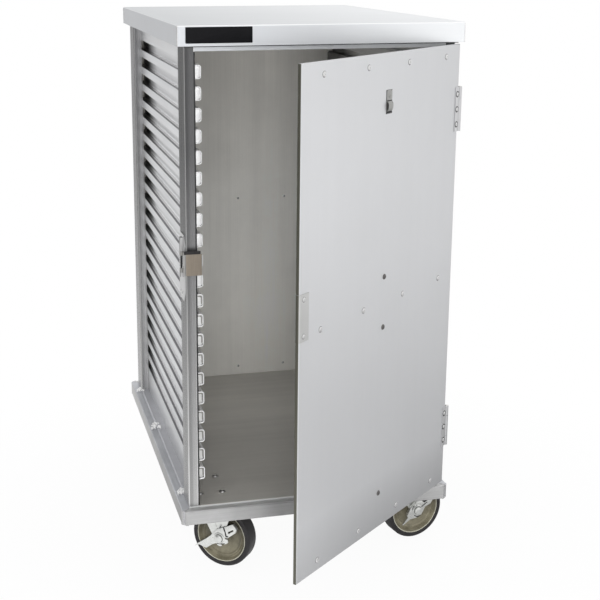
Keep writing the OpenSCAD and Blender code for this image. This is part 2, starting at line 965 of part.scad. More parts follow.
// Where a straight line from p touches a circle of radius r round c, on the given side
function touch(p, c, r, side) =
    let (v = p - c, d = norm(v), a = acos(r / d), u = v / d)
    c + r * [u[0] * cos(a) - side * u[1] * sin(a), side * u[0] * sin(a) + u[1] * cos(a)];

// A fork leg from the side: wide at the crown, narrowing to a round foot at the axle
module fork_leg_outline() {
    foot = [trail, wheel_r];
    foot_r = fork_foot_w / 2;
    back_top = [-fork_top_w / 2 + 6, fork_top_z];
    front_top = [fork_top_w / 2 + 6, fork_top_z];
    translate(foot)
        circle(foot_r);
    polygon([
        back_top,
        touch(back_top, foot, foot_r, 1),
        foot,
        touch(front_top, foot, foot_r, -1),
        front_top
    ]);
}

// Pressed fork: a round crown under the ball race and a leg on each side of the wheel
module fork(i) {
    color("gainsboro")
        at_caster(i)
            difference() {
                union() {
                    translate([0, 0, fork_top_z - fork_t])
                        cylinder(d = race_d + 2, h = fork_t);
                    translate([-fork_top_w / 2 + 6, -fork_out, fork_top_z - fork_t])
                        cube([fork_top_w, 2 * fork_out, fork_t]);
                    for (y = [-fork_out, fork_in])
                        along_y(y, y + fork_t)
                            fork_leg_outline();
                }
                translate([0, 0, fork_top_z - fork_t - past])
                    cylinder(r = kingpin_d / 2 + run, h = fork_t + 2 * past);
                translate([trail, 0, wheel_r])
                    rotate([90, 0, 0])
                        cylinder(d = axle_d + 2 * snug, h = 2 * fork_out + 2 * past, center = true);
            }
}

// Axle bolt: its head stands clear of the brake lever where there is one
module axle(i, braked) {
    head_y = braked ? lever_y + lever_t + slide : fork_out;
    nut_y = fork_out;
    color("silver")
        at_caster(i)
            translate([trail, 0, wheel_r])
                rotate([90, 0, 0]) {
                    translate([0, 0, -nut_y - head_h])
                        cylinder(d = axle_d, h = nut_y + head_h + head_y);
                    translate([0, 0, head_y])
                        cylinder(d = axle_d * 1.7, h = head_h - 2);
                    translate([0, 0, head_y + head_h - 2])
                        dome(axle_d * 1.6, 2);
                    translate([0, 0, -nut_y - head_h])
                        cylinder(d = axle_d * 1.8, h = head_h, $fn = 6);
                }
}

// Half of the hub in section: boss, dished web, raised ring and rim
function hub_half(s) = [
    [axle_d / 2 + run, s * boss_half],
    [12, s * boss_half],
    [14, s * 10],
    [hub_r - 15, s * 8],
    [hub_r - 12, s * 11],
    [hub_r - 9.5, s * 11],
    [hub_r - 8.5, s * 9.5],
    [hub_r - 3.5, s * (tread_w / 2 - 2.5)],
    [hub_r - 2.5, s * (tread_w / 2 - 1)],
    [hub_r - snug, s * (tread_w / 2 - 1)]
];

module hub(i) {
    other = hub_half(-1);
    n = len(other);
    color("darkkhaki")
        at_caster(i)
            translate([trail, 0, wheel_r])
                rotate([90, 0, 0])
                    rotate_extrude()
                        polygon(concat(hub_half(1), [for (k = [0 : n - 1]) other[n - 1 - k]]));
}

module tyre(i) {
    color([0.12, 0.12, 0.12])
        at_caster(i)
            translate([trail, 0, wheel_r])
                rotate([90, 0, 0])
                    rotate_extrude()
                        translate([hub_r, 0])
                            round_bar(tyre_t, tread_w, shoulder_r);
}

// Two-armed brake lever on the axle: a pedal arm with a bent toe, and a pointed release arm
module brake_lever(i) {
    boss = 11;
    half = lever_w / 2;
    toe = 9;
    color("gainsboro")
        at_caster(i)
            translate([trail, -lever_y, wheel_r])
                rotate([0, -lever_slope, 0])
                    difference() {
                        union() {
                            along_y(-lever_t, 0) {
                                circle(boss);
                                polygon([
                                    [-release_arm, -3],
                                    [-release_arm + 12, -half + 1],
                                    [0, -half],
                                    [pedal_arm - 3, -half + 1],
                                    [pedal_arm, -half + 4],
                                    [pedal_arm, half],
                                    [0, half + 1],
                                    [-release_arm + 14, half - 1],
                                    [-release_arm, 0]
                                ]);
                            }
                            translate([pedal_arm - lever_t, -toe, -half + 4])
                                cube([lever_t, toe, lever_w - 4]);
                        }
                        translate([0, past, 0])
                            rotate([90, 0, 0])
                                cylinder(d = axle_d + 2 * run, h = lever_t + 2 * past);
                        translate([pedal_arm - 20, -lever_t - past, 1])
                            cube([11, lever_t + 2 * past, 2.5]);
                    }
}

// Turns a piece drawn on the closed door to where the door stands
module on_door() {
    translate([pin_x, pin_y, 0])
        rotate([0, 0, door_open])
            translate([-pin_x, -pin_y, 0])
                children();
}

// Door pan, its face to the front and its edges turned in
module door_panel() {
    color("silver")
        on_door()
            translate([door_past / 2, pin_y + door_t, middle_z])
                rotate([90, 0, 0])
                    pan(door_w, door_h, door_t, door_sheet, door_bend);
}

// Channel riveted across the inside of the door
module door_stiffener(z) {
    half = stiffener_l / 2;
    color("gray")
        on_door()
            translate([door_mid_x, pin_y + door_sheet, z])
                along_x(-half, half)
                    difference() {
                        translate([0, -stiffener_h / 2])
                            square([stiffener_d, stiffener_h]);
                        translate([sheet_t, -stiffener_h / 2 + sheet_t])
                            square([stiffener_d, stiffener_h - 2 * sheet_t]);
                    }
}

module door_stiffener_top() {
    door_stiffener(stiffener_zs[0]);
}

module door_stiffener_middle() {
    door_stiffener(stiffener_zs[1]);
}

module door_stiffener_bottom() {
    door_stiffener(stiffener_zs[2]);
}

// The leaf on the door's face, with the middle knuckle
module door_leaf(z) {
    tall = hinge_h - 2 * post_knuckle - 2 * knuckle_gap;
    inner_x = side_x + door_past - door_leaf_w;
    color("silver")
        on_door()
            difference() {
                union() {
                    translate([inner_x, pin_y - leaf_t, z - hinge_h / 2])
                        cube([door_leaf_w, leaf_t, hinge_h]);
                    translate([inner_x, pin_y - leaf_t, z - tall / 2])
                        cube([pin_x - inner_x, leaf_t, tall]);
                    translate([pin_x, pin_y, z - tall / 2])
                        cylinder(d = knuckle_d, h = tall);
                }
                translate([pin_x, pin_y, z - tall / 2 - past])
                    cylinder(r = hinge_pin_r + run, h = tall + 2 * past);
            }
}

module door_leaf_upper() {
    door_leaf(hinge_zs[0]);
}

module door_leaf_lower() {
    door_leaf(hinge_zs[1]);
}

// Heads on the door's face: three rows over the stiffeners, and those of the leaves and the wear plate
module door_rivets() {
    leaf_x = side_x + door_past - door_leaf_w / 2;
    plate_x = -side_x + 11;
    color("whitesmoke")
        on_door() {
            for (z = stiffener_zs)
                for (i = rivet_cols)
                    translate([door_mid_x + i * stiffener_pitch, pin_y, z])
                        dome_front();
            for (z = hinge_zs)
                for (i = [-1 : 1])
                    translate([leaf_x, pin_y - leaf_t, z + i * hinge_rivet_gap])
                        dome_front(rivet_d * 0.85);
            for (i = [-1, 1])
                translate([plate_x, pin_y - edge_plate_t, latch_z + i * (edge_plate_h / 2 - 9)])
                    dome_front(rivet_d * 0.85, rivet_rise * 0.8);
        }
}

// Round-headed screws down the middle of the door
module door_screws() {
    color("dimgray")
        on_door()
            for (z = screw_zs)
                translate([door_mid_x, pin_y, z])
                    dome_front(rivet_d + 2, 2.6);
}

// Wear plate wrapped round the door's free edge, where the latch's hook grips
module door_edge_plate() {
    wrap = edge_plate_w + edge_plate_t;
    back_leg = 16;
    color("gray")
        on_door()
            translate([-side_x + edge_plate_w, pin_y + door_t / 2, latch_z - edge_plate_h / 2])
                linear_extrude(edge_plate_h)
                    rotate(180)
                        difference() {
                            round_bar(wrap, door_t + 2 * edge_plate_t, door_bend + edge_plate_t);
                            translate([-past, 0])
                                round_bar(wrap - edge_plate_t + past, door_t, door_bend - slide);
                            translate([-past, -door_t / 2])
                                square([wrap - edge_plate_t + past, door_t / 2]);
                            translate([-past, -door_t - edge_plate_t])
                                square([edge_plate_w - back_leg + past, door_t]);
                        }
}

// Spring clip for a card: a riveted base and a tongue that stands off it
module card_clip() {
    leaf = 1;
    tongue_w = clip_w * 0.7;
    color("silver")
        on_door()
            translate([door_mid_x, pin_y, clip_z]) {
                translate([-clip_w / 2, -leaf, 0])
                    cube([clip_w, leaf, clip_h]);
                along_x(-tongue_w / 2, tongue_w / 2)
                    polygon([
                        [-leaf, clip_h * 0.55],
                        [-clip_out, clip_h * 0.42],
                        [-clip_out, clip_h * 0.12],
                        [-leaf - 1.2, 2],
                        [-leaf - 0.6, 2.8],
                        [-clip_out + leaf, clip_h * 0.15],
                        [-clip_out + leaf, clip_h * 0.4],
                        [-leaf, clip_h * 0.49]
                    ]);
                translate([0, -leaf, clip_h * 0.76])
                    dome_front(rivet_d * 0.8);
            }
}

centred() canopy();
centred() header_rail();
centred() left_wall();
centred() right_wall();
centred() back_wall();
centred() back_stiffener();
centred() back_sill();
centred() post_front_left();
centred() post_front_right();
centred() post_rear_left();
centred() post_rear_right();
centred() floor_pan();
centred() base_rail_front();
centred() base_rail_rear();
centred() base_rail_left();
centred() base_rail_right();
centred() cross_channel_front();
centred() cross_channel_rear();
centred() body_rivets();
centred() caster_bolts();
centred() post_leaf_upper();
centred() post_leaf_lower();
centred() hinge_pins();
centred() latch_bracket();
centred() latch_pin();
centred() latch_spring();
centred() latch_arm();
centred() caster_plate(0);  // caster_plate_fl
centred() caster_plate(1);  // caster_plate_fr
centred() caster_plate(2);  // caster_plate_rl
centred() caster_plate(3);  // caster_plate_rr
centred() kingpins();
centred() fork(0);  // fork_fl
centred() fork(1);  // fork_fr
centred() fork(2);  // fork_rl
centred() fork(3);  // fork_rr
centred() axle(0, true);  // axle_fl
centred() axle(1, true);  // axle_fr
centred() axle(2, false);  // axle_rl
centred() axle(3, false);  // axle_rr
centred() hub(0);  // hub_fl
centred() hub(1);  // hub_fr
centred() hub(2);  // hub_rl
centred() hub(3);  // hub_rr
centred() tyre(0);  // tyre_fl
centred() tyre(1);  // tyre_fr
centred() tyre(2);  // tyre_rl
centred() tyre(3);  // tyre_rr
centred() brake_lever(0);  // brake_lever_fl
centred() brake_lever(1);  // brake_lever_fr
centred() door_panel();
centred() door_stiffener_top();
centred() door_stiffener_middle();
centred() door_stiffener_bottom();
centred() door_leaf_upper();
centred() door_leaf_lower();
centred() door_rivets();
centred() door_screws();
centred() door_edge_plate();
centred() card_clip();
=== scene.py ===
# An enclosed bun pan rack in satin aluminium on four swivel casters, its door standing ajar
import json
import math

import bmesh
import bpy
from mathutils import Matrix, Vector

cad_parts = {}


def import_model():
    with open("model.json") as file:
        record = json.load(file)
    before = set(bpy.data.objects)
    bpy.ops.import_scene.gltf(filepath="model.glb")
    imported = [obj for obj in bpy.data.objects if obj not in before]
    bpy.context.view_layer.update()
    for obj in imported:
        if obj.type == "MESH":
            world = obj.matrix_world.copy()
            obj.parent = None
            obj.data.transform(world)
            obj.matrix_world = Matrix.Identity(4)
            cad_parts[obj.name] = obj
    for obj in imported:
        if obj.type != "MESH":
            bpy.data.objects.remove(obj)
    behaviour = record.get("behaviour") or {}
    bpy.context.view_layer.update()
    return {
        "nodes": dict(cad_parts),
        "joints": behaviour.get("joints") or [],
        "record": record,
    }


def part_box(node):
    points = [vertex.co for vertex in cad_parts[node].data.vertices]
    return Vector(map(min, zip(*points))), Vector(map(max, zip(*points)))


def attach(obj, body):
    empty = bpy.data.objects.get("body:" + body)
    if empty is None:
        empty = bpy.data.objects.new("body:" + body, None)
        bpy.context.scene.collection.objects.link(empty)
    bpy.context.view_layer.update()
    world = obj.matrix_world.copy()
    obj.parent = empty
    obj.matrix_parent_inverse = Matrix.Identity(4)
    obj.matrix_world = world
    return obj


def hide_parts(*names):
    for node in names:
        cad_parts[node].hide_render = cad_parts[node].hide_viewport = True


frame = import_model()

MM = 0.001
NODES = frame["nodes"]
JOINTS = {joint["name"]: joint for joint in frame["joints"]}
MIDDLE_X = (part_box("left_wall")[0].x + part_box("right_wall")[1].x) / 2
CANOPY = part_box("canopy")
CORNERS = ("fl", "fr", "rl", "rr")
TOUCHING = MM / 100


def spin(degrees, axis):
    return Matrix.Rotation(math.radians(degrees), 4, axis)


def shift(x=0.0, y=0.0, z=0.0):
    """A move in millimetres"""
    return Matrix.Translation((x * MM, y * MM, z * MM))


def pivot(joint):
    return Vector(JOINTS[joint]["pos_m"])


UPRIGHT = spin(90, "X")
LENGTHWISE = spin(90, "Z")


def on_door():
    """The place of what is modelled with the hinge axis at the origin and the door closed"""
    hinge = JOINTS["door_swing"]
    return Matrix.Translation((*hinge["pos_m"][:2], 0)) @ spin(-hinge["range_deg"][0], "Z")


# Working by hand: a piece is started, picked at, shaped and finished

def deselect():
    if bpy.context.object and bpy.context.object.mode != "OBJECT":
        bpy.ops.object.mode_set(mode="OBJECT")
    bpy.ops.object.select_all(action="DESELECT")


def take(piece):
    """Makes a piece the only one selected, and the active one"""
    deselect()
    piece.select_set(True)
    bpy.context.view_layer.objects.active = piece


def name_it(piece, name):
    piece.name = name
    piece.data.name = name
    return piece


def pick_edges(piece, test):
    """Selects, in edit mode, the edges whose two ends pass a test"""
    bpy.ops.mesh.select_mode(type="EDGE")
    bpy.ops.mesh.select_all(action="DESELECT")
    shape = bmesh.from_edit_mesh(piece.data)
    for edge in shape.edges:
        if test(edge.verts[0].co, edge.verts[1].co):
            edge.select_set(True)
    shape.select_flush_mode()
    bmesh.update_edit_mesh(piece.data)


def pick_all():
    bpy.ops.mesh.select_all(action="SELECT")


def face_outwards():
    """Turns all faces outwards, and leaves edit mode"""
    pick_all()
    bpy.ops.mesh.normals_make_consistent(inside=False)
    bpy.ops.object.mode_set(mode="OBJECT")


def modify(piece, kind, **settings):
    """Finishes a piece with one modifier, applied at once"""
    take(piece)
    modifier = piece.modifiers.new(kind.title(), kind)
    for key, value in settings.items():
        setattr(modifier, key, value)
    bpy.ops.object.modifier_apply(modifier=modifier.name)
    return piece


def round_edges(piece, width, steps=2):
    modify(piece, "BEVEL", width=width, segments=steps, limit_method="ANGLE")


def block(name, low, high, round_off=0.0, steps=3):
    """A block between two corners, with its edges rounded"""
    low = Vector(low)
    high = Vector(high)
    deselect()
    bpy.ops.mesh.primitive_cube_add(size=1)
    piece = name_it(bpy.context.object, name)
    piece.data.transform(Matrix.Translation((low + high) / 2) @ Matrix.Diagonal((*(high - low), 1)))
    if round_off:
        round_edges(piece, round_off, steps)
    return piece


def trace(name, points):
    """A line of vertices through points in X and Z, each extruded from the one before"""
    deselect()
    bpy.ops.mesh.primitive_plane_add(size=MM)
    piece = name_it(bpy.context.object, name)
    bpy.ops.object.mode_set(mode="EDIT")
    bpy.ops.mesh.select_mode(type="VERT")
    pick_all()
    bpy.ops.mesh.merge(type="CENTER")
    at = Vector((0, 0, 0))
    for number, (x, z) in enumerate(points):
        step = Vector((x, 0, z)) - at
        at += step
        if number == 0:
            bpy.ops.transform.translate(value=step)
        else:
            bpy.ops.mesh.extrude_region_move(TRANSFORM_OT_translate={"value": step})
    pick_all()
    bpy.ops.mesh.remove_doubles(threshold=TOUCHING)
    pick_all()
    return piece


def turned(name, points, steps=96):
    """A closed profile in X and Z, in millimetres, spun round the Z axis"""
    points = [(x * MM, z * MM) for x, z in points]
    if points[0][0] or points[-1][0]:
        points.append(points[0])
    piece = trace(name, points)
    bpy.ops.mesh.spin(steps=steps, angle=2 * math.pi, center=(0, 0, 0), axis=(0, 0, 1))
    pick_all()
    bpy.ops.mesh.remove_doubles(threshold=TOUCHING)
    face_outwards()
    return piece


def plate_of(name, outline, y0, y1, round_off=0.0, steps=2):
    """An outline in X and Z, in millimetres, filled and given a thickness from y0 to y1"""
    outline = [(x * MM, z * MM) for x, z in outline]
    piece = trace(name, outline + [outline[0]])
    bpy.ops.mesh.edge_face_add()
    bpy.ops.transform.translate(value=(0, y0 * MM, 0))
    bpy.ops.mesh.extrude_region_move(TRANSFORM_OT_translate={"value": (0, (y1 - y0) * MM, 0)})
    face_outwards()
    if round_off:
        round_edges(piece, round_off * MM, steps)
    return piece


def disc(radius, low, high):
    """The profile of a plain disc or pin"""
    return [(0, low), (radius, low), (radius, high), (0, high)]


def arc(x, z, radius, start, end, steps=6):
    """Points on an arc round (x, z), with its angles in degrees"""
    turns = [math.radians(start + (end - start) * step / steps) for step in range(steps + 1)]
    return [(x + radius * math.cos(turn), z + radius * math.sin(turn)) for turn in turns]


def combine(piece, other, operation):
    modify(piece, "BOOLEAN", operation=operation, object=other, solver="EXACT")
    bpy.data.objects.remove(other)


def join(name, pieces):
    deselect()
    for piece in pieces:
        piece.select_set(True)
    bpy.context.view_layer.objects.active = pieces[0]
    if len(pieces) > 1:
        bpy.ops.object.join()
    return name_it(bpy.context.object, name)


def link(piece):
    bpy.context.scene.collection.objects.link(piece)


def copy_at(piece, place):
    """A copy with its own mesh, moved in its mesh"""
    twin = piece.copy()
    twin.data = piece.data.copy()
    link(twin)
    twin.data.transform(place)
    return twin


def copies_at(name, piece, places):
    """One piece made of copies of another, which is used up"""
    twins = [copy_at(piece, place) for place in places]
    bpy.data.objects.remove(piece)
    return join(name, twins)


def hand_over(piece, body, slot=None, finish=None, replaces=(), smooth=35):
    """A finished piece: smoothed, in its own finish or its slot's, and riding on its body"""
    take(piece)
    bpy.ops.object.shade_smooth_by_angle(angle=math.radians(smooth))
    piece.data.materials.clear()
    piece.data.materials.append(finish or FINISHES[slot])
    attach(piece, body)
    for node in replaces:
        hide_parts(node)


# Finishes

GRAIN_DEPTH = 0.2 * MM

# Where one face gives way to another, and the painted light with it, from and to, across from the rack's
# middle
POST_INSIDE = (0.2372, 0.2366)
LEDGE_BACK = (0.2302, 0.2312)
GROOVE_FACE = (0.2353, 0.2349)
OUTER_FLANGE = (0.2352, 0.2360)


def along(grain, fine, coarse):
    """A stretch that is coarse along one axis and fine across it"""
    return tuple(coarse if axis == grain else fine for axis in "XYZ")


class Finish:
    """A material as it is built: nodes are added by kind, and sockets are linked or set"""

    def __init__(self, name, **sockets):
        self.material = bpy.data.materials.new(name)
        self.material.use_nodes = True
        self.tree = self.material.node_tree
        self.shader = self.tree.nodes["Principled BSDF"]
        self.set(self.shader, **sockets)
        coordinates = self.add("TexCoord")
        self.place = coordinates.outputs["Object"]
        self.normal = coordinates.outputs["Normal"]

    def plug(self, socket, value):
        if isinstance(value, bpy.types.NodeSocket):
            self.tree.links.new(value, socket)
        else:
            socket.default_value = value

    def set(self, node, **sockets):
        for key, value in sockets.items():
            self.plug(node.inputs[key.replace("_", " ")], value)

    def add(self, kind, settings=(), **sockets):
        node = self.tree.nodes.new("ShaderNode" + kind)
        for key, value in dict(settings).items():
            setattr(node, key, value)
        self.set(node, **sockets)
        return node

    def calculate(self, operation, first, second=0.0):
        node = self.add("Math", {"operation": operation})
        self.plug(node.inputs[0], first)
        self.plug(node.inputs[1], second)
        return node.outputs["Value"]

    def split(self, vector):
        return self.add("SeparateXYZ", Vector=vector).outputs

    def at(self, axis):
        """The place along one axis"""
        return self.split(self.place)[axis]

    def off_middle(self):
        """How far a point is from the rack's middle, across it"""
        return self.calculate("ABSOLUTE", self.calculate("SUBTRACT", self.at("X"), MIDDLE_X))

    def facing(self, axis):
        """How far the surface faces along an axis, either way"""
        return self.calculate("ABSOLUTE", self.split(self.normal)[axis])

    def square_to(self, axis, start=0.6, end=0.9):
        """1 on the faces square to an axis, and 0 on the others"""
        return self.fade(self.facing(axis), start, end)

    def noise(self, stretch, detail=3.0, rough=0.5):
        """Noise on the piece's own coordinates, in waves per metre along all axes or each"""
        if not isinstance(stretch, tuple):
            stretch = (stretch,) * 3
        mapping = self.add("Mapping", Vector=self.place, Scale=stretch)
        grain = self.add("TexNoise", Vector=mapping.outputs["Vector"], Scale=1.0)
        self.set(grain, Detail=detail, Roughness=rough)
        return grain.outputs["Fac"]

    def between(self, value, low, high, to_low, to_high):
        """A value moved from one range to another"""
        node = self.add("MapRange", Value=value)
        for number, limit in enumerate((low, high, to_low, to_high), 1):
            node.inputs[number].default_value = limit
        return node.outputs["Result"]

    def fade(self, value, start, end):
        """0 where a value is at its start, 1 at its end, and held past them"""
        return self.between(value, start, end, 0.0, 1.0)

    def change(self, axis, start, end, first, second):
        """One colour up to a place along an axis, and another from the next place on"""
        return self.blend(self.fade(self.at(axis), start, end), first, second)

    def spread(self, noise, low, high):
        """Noise, most of which lies between 0.3 and 0.7, moved to another range"""
        return self.between(noise, 0.3, 0.7, low, high)

    def blend(self, factor, first, second, mode="MIX"):
        """Two colours mixed, where a single number is a grey"""
        node = self.add("MixRGB", {"blend_type": mode}, Fac=factor)
        for key, value in (("Color1", first), ("Color2", second)):
            if isinstance(value, float):
                value = (value,) * 3
            self.plug(node.inputs[key], (*value, 1) if isinstance(value, tuple) else value)
        return node.outputs["Color"]

    def by_face(self, sideways, forward, upward):
        """Another colour for the faces along X, along Y and along Z"""
        return self.blend(self.square_to("Z"), self.blend(self.square_to("X"), forward, sideways), upward)

    def shade(self, colour, factor, depth):
        """A colour made darker at a factor of 0.3 and lighter at 0.7"""
        tone = self.spread(factor, 1 - depth, 1 + depth)
        grey = self.add("CombineColor", Red=tone, Green=tone, Blue=tone).outputs["Color"]
        return self.blend(1.0, colour, grey, "MULTIPLY")

    def skin(self, tint, gloss, height, strength, depth=GRAIN_DEPTH, edge=0.0):
        """The finished material: colour, roughness, and bump over edges that look softened by a radius"""
        self.set(self.shader, Base_Color=tint, Roughness=gloss)
        bump = self.add("Bump", Height=height, Strength=strength, Distance=depth)
        if edge:
            soft = self.add("Bevel", {"samples": 4}, Radius=edge)
            self.set(bump, Normal=soft.outputs["Normal"])
        self.set(self.shader, Normal=bump.outputs["Normal"])
        return self.material

    def milled(self, colour, grain, roughness=0.4, streak=0.03, cloud=0.04, broad=0.0):
        """Rolled or extruded aluminium: grain along one axis, faint bands and clouds, softened edges"""
        hairs = self.noise(along(grain, 900, 6), detail=2)
        bands = self.noise(along(grain, 45, 1.5), detail=2)
        clouds = self.noise(5, detail=5, rough=0.6)
        tint = self.shade(self.shade(colour, hairs, streak), bands, streak)
        tint = self.shade(tint, clouds, cloud)
        if broad:
            tint = self.shade(tint, self.noise(along(grain, 5, 0.4), detail=1), broad)
        gloss = self.spread(hairs, roughness - 0.04, roughness + 0.05)
        return self.skin(tint, gloss, hairs, 0.10, edge=0.7 * MM)

    def brushed(self, colour, grain, roughness, dirt=0.08):
        """Steel with a brushed grain along one axis, and smears"""
        hairs = self.noise(along(grain, 1400, 30))
        smears = self.noise(50, detail=4)
        tint = self.shade(self.shade(colour, hairs, 0.08), smears, dirt)
        gloss = self.spread(smears, roughness - 0.05, roughness + 0.12)
        return self.skin(tint, gloss, hairs, 0.12, edge=0.4 * MM)


def mill_aluminium(name, colour, grain, roughness, metal=0.8):
    """One tone all over"""
    return Finish(name, Metallic=metal).milled(colour, grain, roughness)


def post_aluminium(name, front, side, bend_highlight):
    """An extruded post in painted light: darker at its head and paler to its foot, each face its own tone, a
    painted reflection lane down its front, and painted highlights on its bends and inner edge
    """
    finish = Finish(name, Metallic=0.8, Specular_Tint=(0.3, 0.3, 0.3, 1))
    # Darker at the head and paler to the foot, front and side in tones of their own: painted shade
    rise = finish.fade(finish.at("Z"), 0.15, 0.85)
    faces = [finish.blend(rise, foot, (head, head, head * 1.02)) for head, foot in (front, side)]
    off_middle = finish.off_middle()
    # A dark lane and a light lane down the front face: a painted reflection
    faces[0] = finish.shade(faces[0], finish.between(off_middle, 0.2425, 0.2480, 0.62, 0.32), 0.24)
    tint = finish.blend(finish.square_to("X", 0.6, 0.95), *faces)
    # The bends and the inner edge: painted highlights
    bend = finish.calculate("MULTIPLY", finish.facing("X"), finish.facing("Y"))
    tint = finish.blend(finish.fade(bend, 0.2, 0.42), tint, finish.blend(rise, bend_highlight, 0.41))
    inside = finish.blend(rise, bend_highlight, front[0] * 1.3)
    tint = finish.blend(finish.fade(off_middle, *POST_INSIDE), tint, inside)
    return finish.milled(tint, "Z", 0.28, streak=0.07, cloud=0.06)


def rail_aluminium(name, upward, grain):
    """A bumper rail, each face in a painted tone of light and shade: darkest amid its front, paler to the
    rear of its sides, with clouded scuffs
    """
    finish = Finish(name, Metallic=0.6, Specular_Tint=(0.5, 0.5, 0.5, 1))
    side = finish.change("Y", -0.15, 0.40, 0.43, 0.58)
    front = finish.change("X", 0.12, 0.22, finish.change("X", -0.23, -0.09, 0.44, 0.245), 0.42)
    # by_face gives each face its own painted tone of light and shade
    return finish.milled(finish.by_face(side, front, upward), grain, 0.42, streak=0.07, cloud=0.2)


def ledge_end_aluminium(name):
    """The closed ends of the ledges, darker down the walls: painted shade"""
    finish = Finish(name, Metallic=0.4)
    return finish.milled(finish.change("Z", 0.40, 0.74, (0.54, 0.54, 0.53), 0.75), "X", 0.36)


def back_aluminium(name):
    """The back in painted light: paler to its foot and to its hinge side, its inside paler than its outside,
    with one soft vertical band
    """
    finish = Finish(name, Metallic=0.45)
    # Paler to the foot and, below, to the hinge side: painted light that makes up for shade in the rack
    tint = finish.change("Z", 0.60, 1.02, (0.90, 0.885, 0.835), (0.76, 0.735, 0.68))
    across = finish.at("X")
    tint = finish.shade(tint, finish.between(across, -0.18, 0.06, 0.28, 0.80), 0.10)
    rise = finish.between(across, 0.035, 0.06, 0.5, 0.7)
    fall = finish.between(across, 0.06, 0.12, 0.0, 0.2)
    tint = finish.shade(tint, finish.calculate("SUBTRACT", rise, fall), 0.05)
    outer = finish.fade(finish.split(finish.normal)["Y"], 0.3, 0.6)
    tint = finish.blend(outer, tint, (0.50, 0.505, 0.515))
    return finish.milled(tint, "Z", 0.36, cloud=0.07, broad=0.08)


def floor_aluminium(name):
    """The floor pan: warm inside and darker to its sill, cool on the flanges outside the walls"""
    finish = Finish(name, Metallic=0.4)
    tint = finish.change("Y", -0.17, 0.22, (0.49, 0.475, 0.445), (0.63, 0.612, 0.575))
    tint = finish.blend(finish.fade(finish.off_middle(), *OUTER_FLANGE), tint, (0.43, 0.435, 0.46))
    tint = finish.blend(finish.square_to("Y", 0.5, 0.8), tint, (0.50, 0.51, 0.505))
    return finish.milled(tint, "X", 0.38, streak=0.04, cloud=0.06, broad=0.06)


def canopy_aluminium(name):
    """The canopy: satin sheet in painted light: its side skirts greyer and its front paler than its top, all
    darker to its latch side, with a painted highlight along its front bend
    """
    finish = Finish(name, Metallic=0.8)
    front = finish.change("X", -0.25, 0.2, (0.76, 0.78, 0.81), (0.86, 0.875, 0.89))
    top = finish.change("X", -0.25, 0.2, (0.575, 0.59, 0.605), (0.80, 0.815, 0.83))
    # A painted highlight along the front bend
    front = finish.change("Z", CANOPY[1].z - 2.6 * MM, CANOPY[1].z - 1.2 * MM, front, 0.98)
    # Each face its own painted tone of light and shade
    tint = finish.by_face((0.49, 0.50, 0.52), front, top)
    return finish.milled(tint, "X", streak=0.01, cloud=0.015)


def door_aluminium(name, colour, cloud):
    """A sheet of the door's in painted shade: darker at its foot and to its hinges, with a dark painted
    reflection on the edge at its free side
    """
    finish = Finish(name, Metallic=0.8)
    # The face at the free edge: a dark painted reflection
    ahead = finish.add("VectorMath", {"operation": "DOT_PRODUCT"}, Vector=finish.normal)
    ahead.inputs[1].default_value = on_door().to_3x3() @ Vector((-1, 0, 0))
    edge = finish.fade(ahead.outputs["Value"], 0.75, 0.92)
    height = finish.at("Z")
    # Darker at the foot, a little at the head, and to the hinge side: painted shade
    tint = finish.shade(colour, finish.between(height, 0.168, 0.27, 0.32, 0.54), 0.25)
    tint = finish.shade(tint, finish.between(height, 0.35, 1.0, 0.52, 0.485), 0.20)
    tint = finish.shade(tint, finish.between(finish.at("X"), -0.10, 0.24, 0.53, 0.455), 0.20)
    tint = finish.blend(edge, tint, (0.13, 0.128, 0.105))
    return finish.milled(tint, "Z", 0.42, streak=0.006, cloud=cloud)


def pressed_aluminium(name):
    """The side walls: flat lands, ledge walls painted pale inside with a painted shadow line under each
    land, grooves painted darker to the rear as shadow, bright cut ends
    """
    finish = Finish(name, Metallic=0.75)
    off_middle = finish.off_middle()
    # The ledge walls: a painted shadow line near the surface, under each land, and painted pale deeper in
    # against their shade
    step = finish.blend(finish.fade(off_middle, *LEDGE_BACK), (0.97, 0.97, 0.98), (0.24, 0.24, 0.25))
    tint = finish.blend(finish.square_to("Z", 0.5, 0.8), (0.62, 0.625, 0.635), step)
    # The grooves, near black to the rear: painted shadow
    shorter = finish.between(finish.at("Z"), 0.90, 0.35, 0.0, -0.09)
    rear = finish.fade(finish.calculate("ADD", finish.at("Y"), shorter), 0.31, 0.43)
    groove = finish.fade(off_middle, *GROOVE_FACE)
    tint = finish.blend(finish.calculate("MULTIPLY", groove, rear), tint, 0.035)
    tint = finish.blend(finish.square_to("Y"), tint, 0.95)
    return finish.milled(tint, "Y", 0.36, streak=0.06)


def zinc_plate(name, colour, roughness):
    """Zinc plated steel: a bright skin with a fine mottle"""
    finish = Finish(name, Metallic=0.9)
    mottle = finish.noise(160, detail=4)
    patches = finish.noise(35)
    tint = finish.shade(finish.shade(colour, mottle, 0.06), patches, 0.08)
    gloss = finish.spread(patches, roughness - 0.06, roughness + 0.1)
    return finish.skin(tint, gloss, mottle, 0.15, edge=0.5 * MM)


def brushed_steel(name, colour, grain, roughness=0.3, dirt=0.08):
    """Stainless or oxidised steel, one tone all over"""
    return Finish(name, Metallic=1.0).brushed(colour, grain, roughness, dirt)


def latch_steel(name):
    """Bronzed steel, rubbed bare and grey where the arm turns on its pin"""
    finish = Finish(name, Metallic=1.0)
    tint = finish.change("X", -0.2715, -0.2725, (0.345, 0.298, 0.245), (0.48, 0.475, 0.46))
    return finish.brushed(tint, "Z", 0.36)


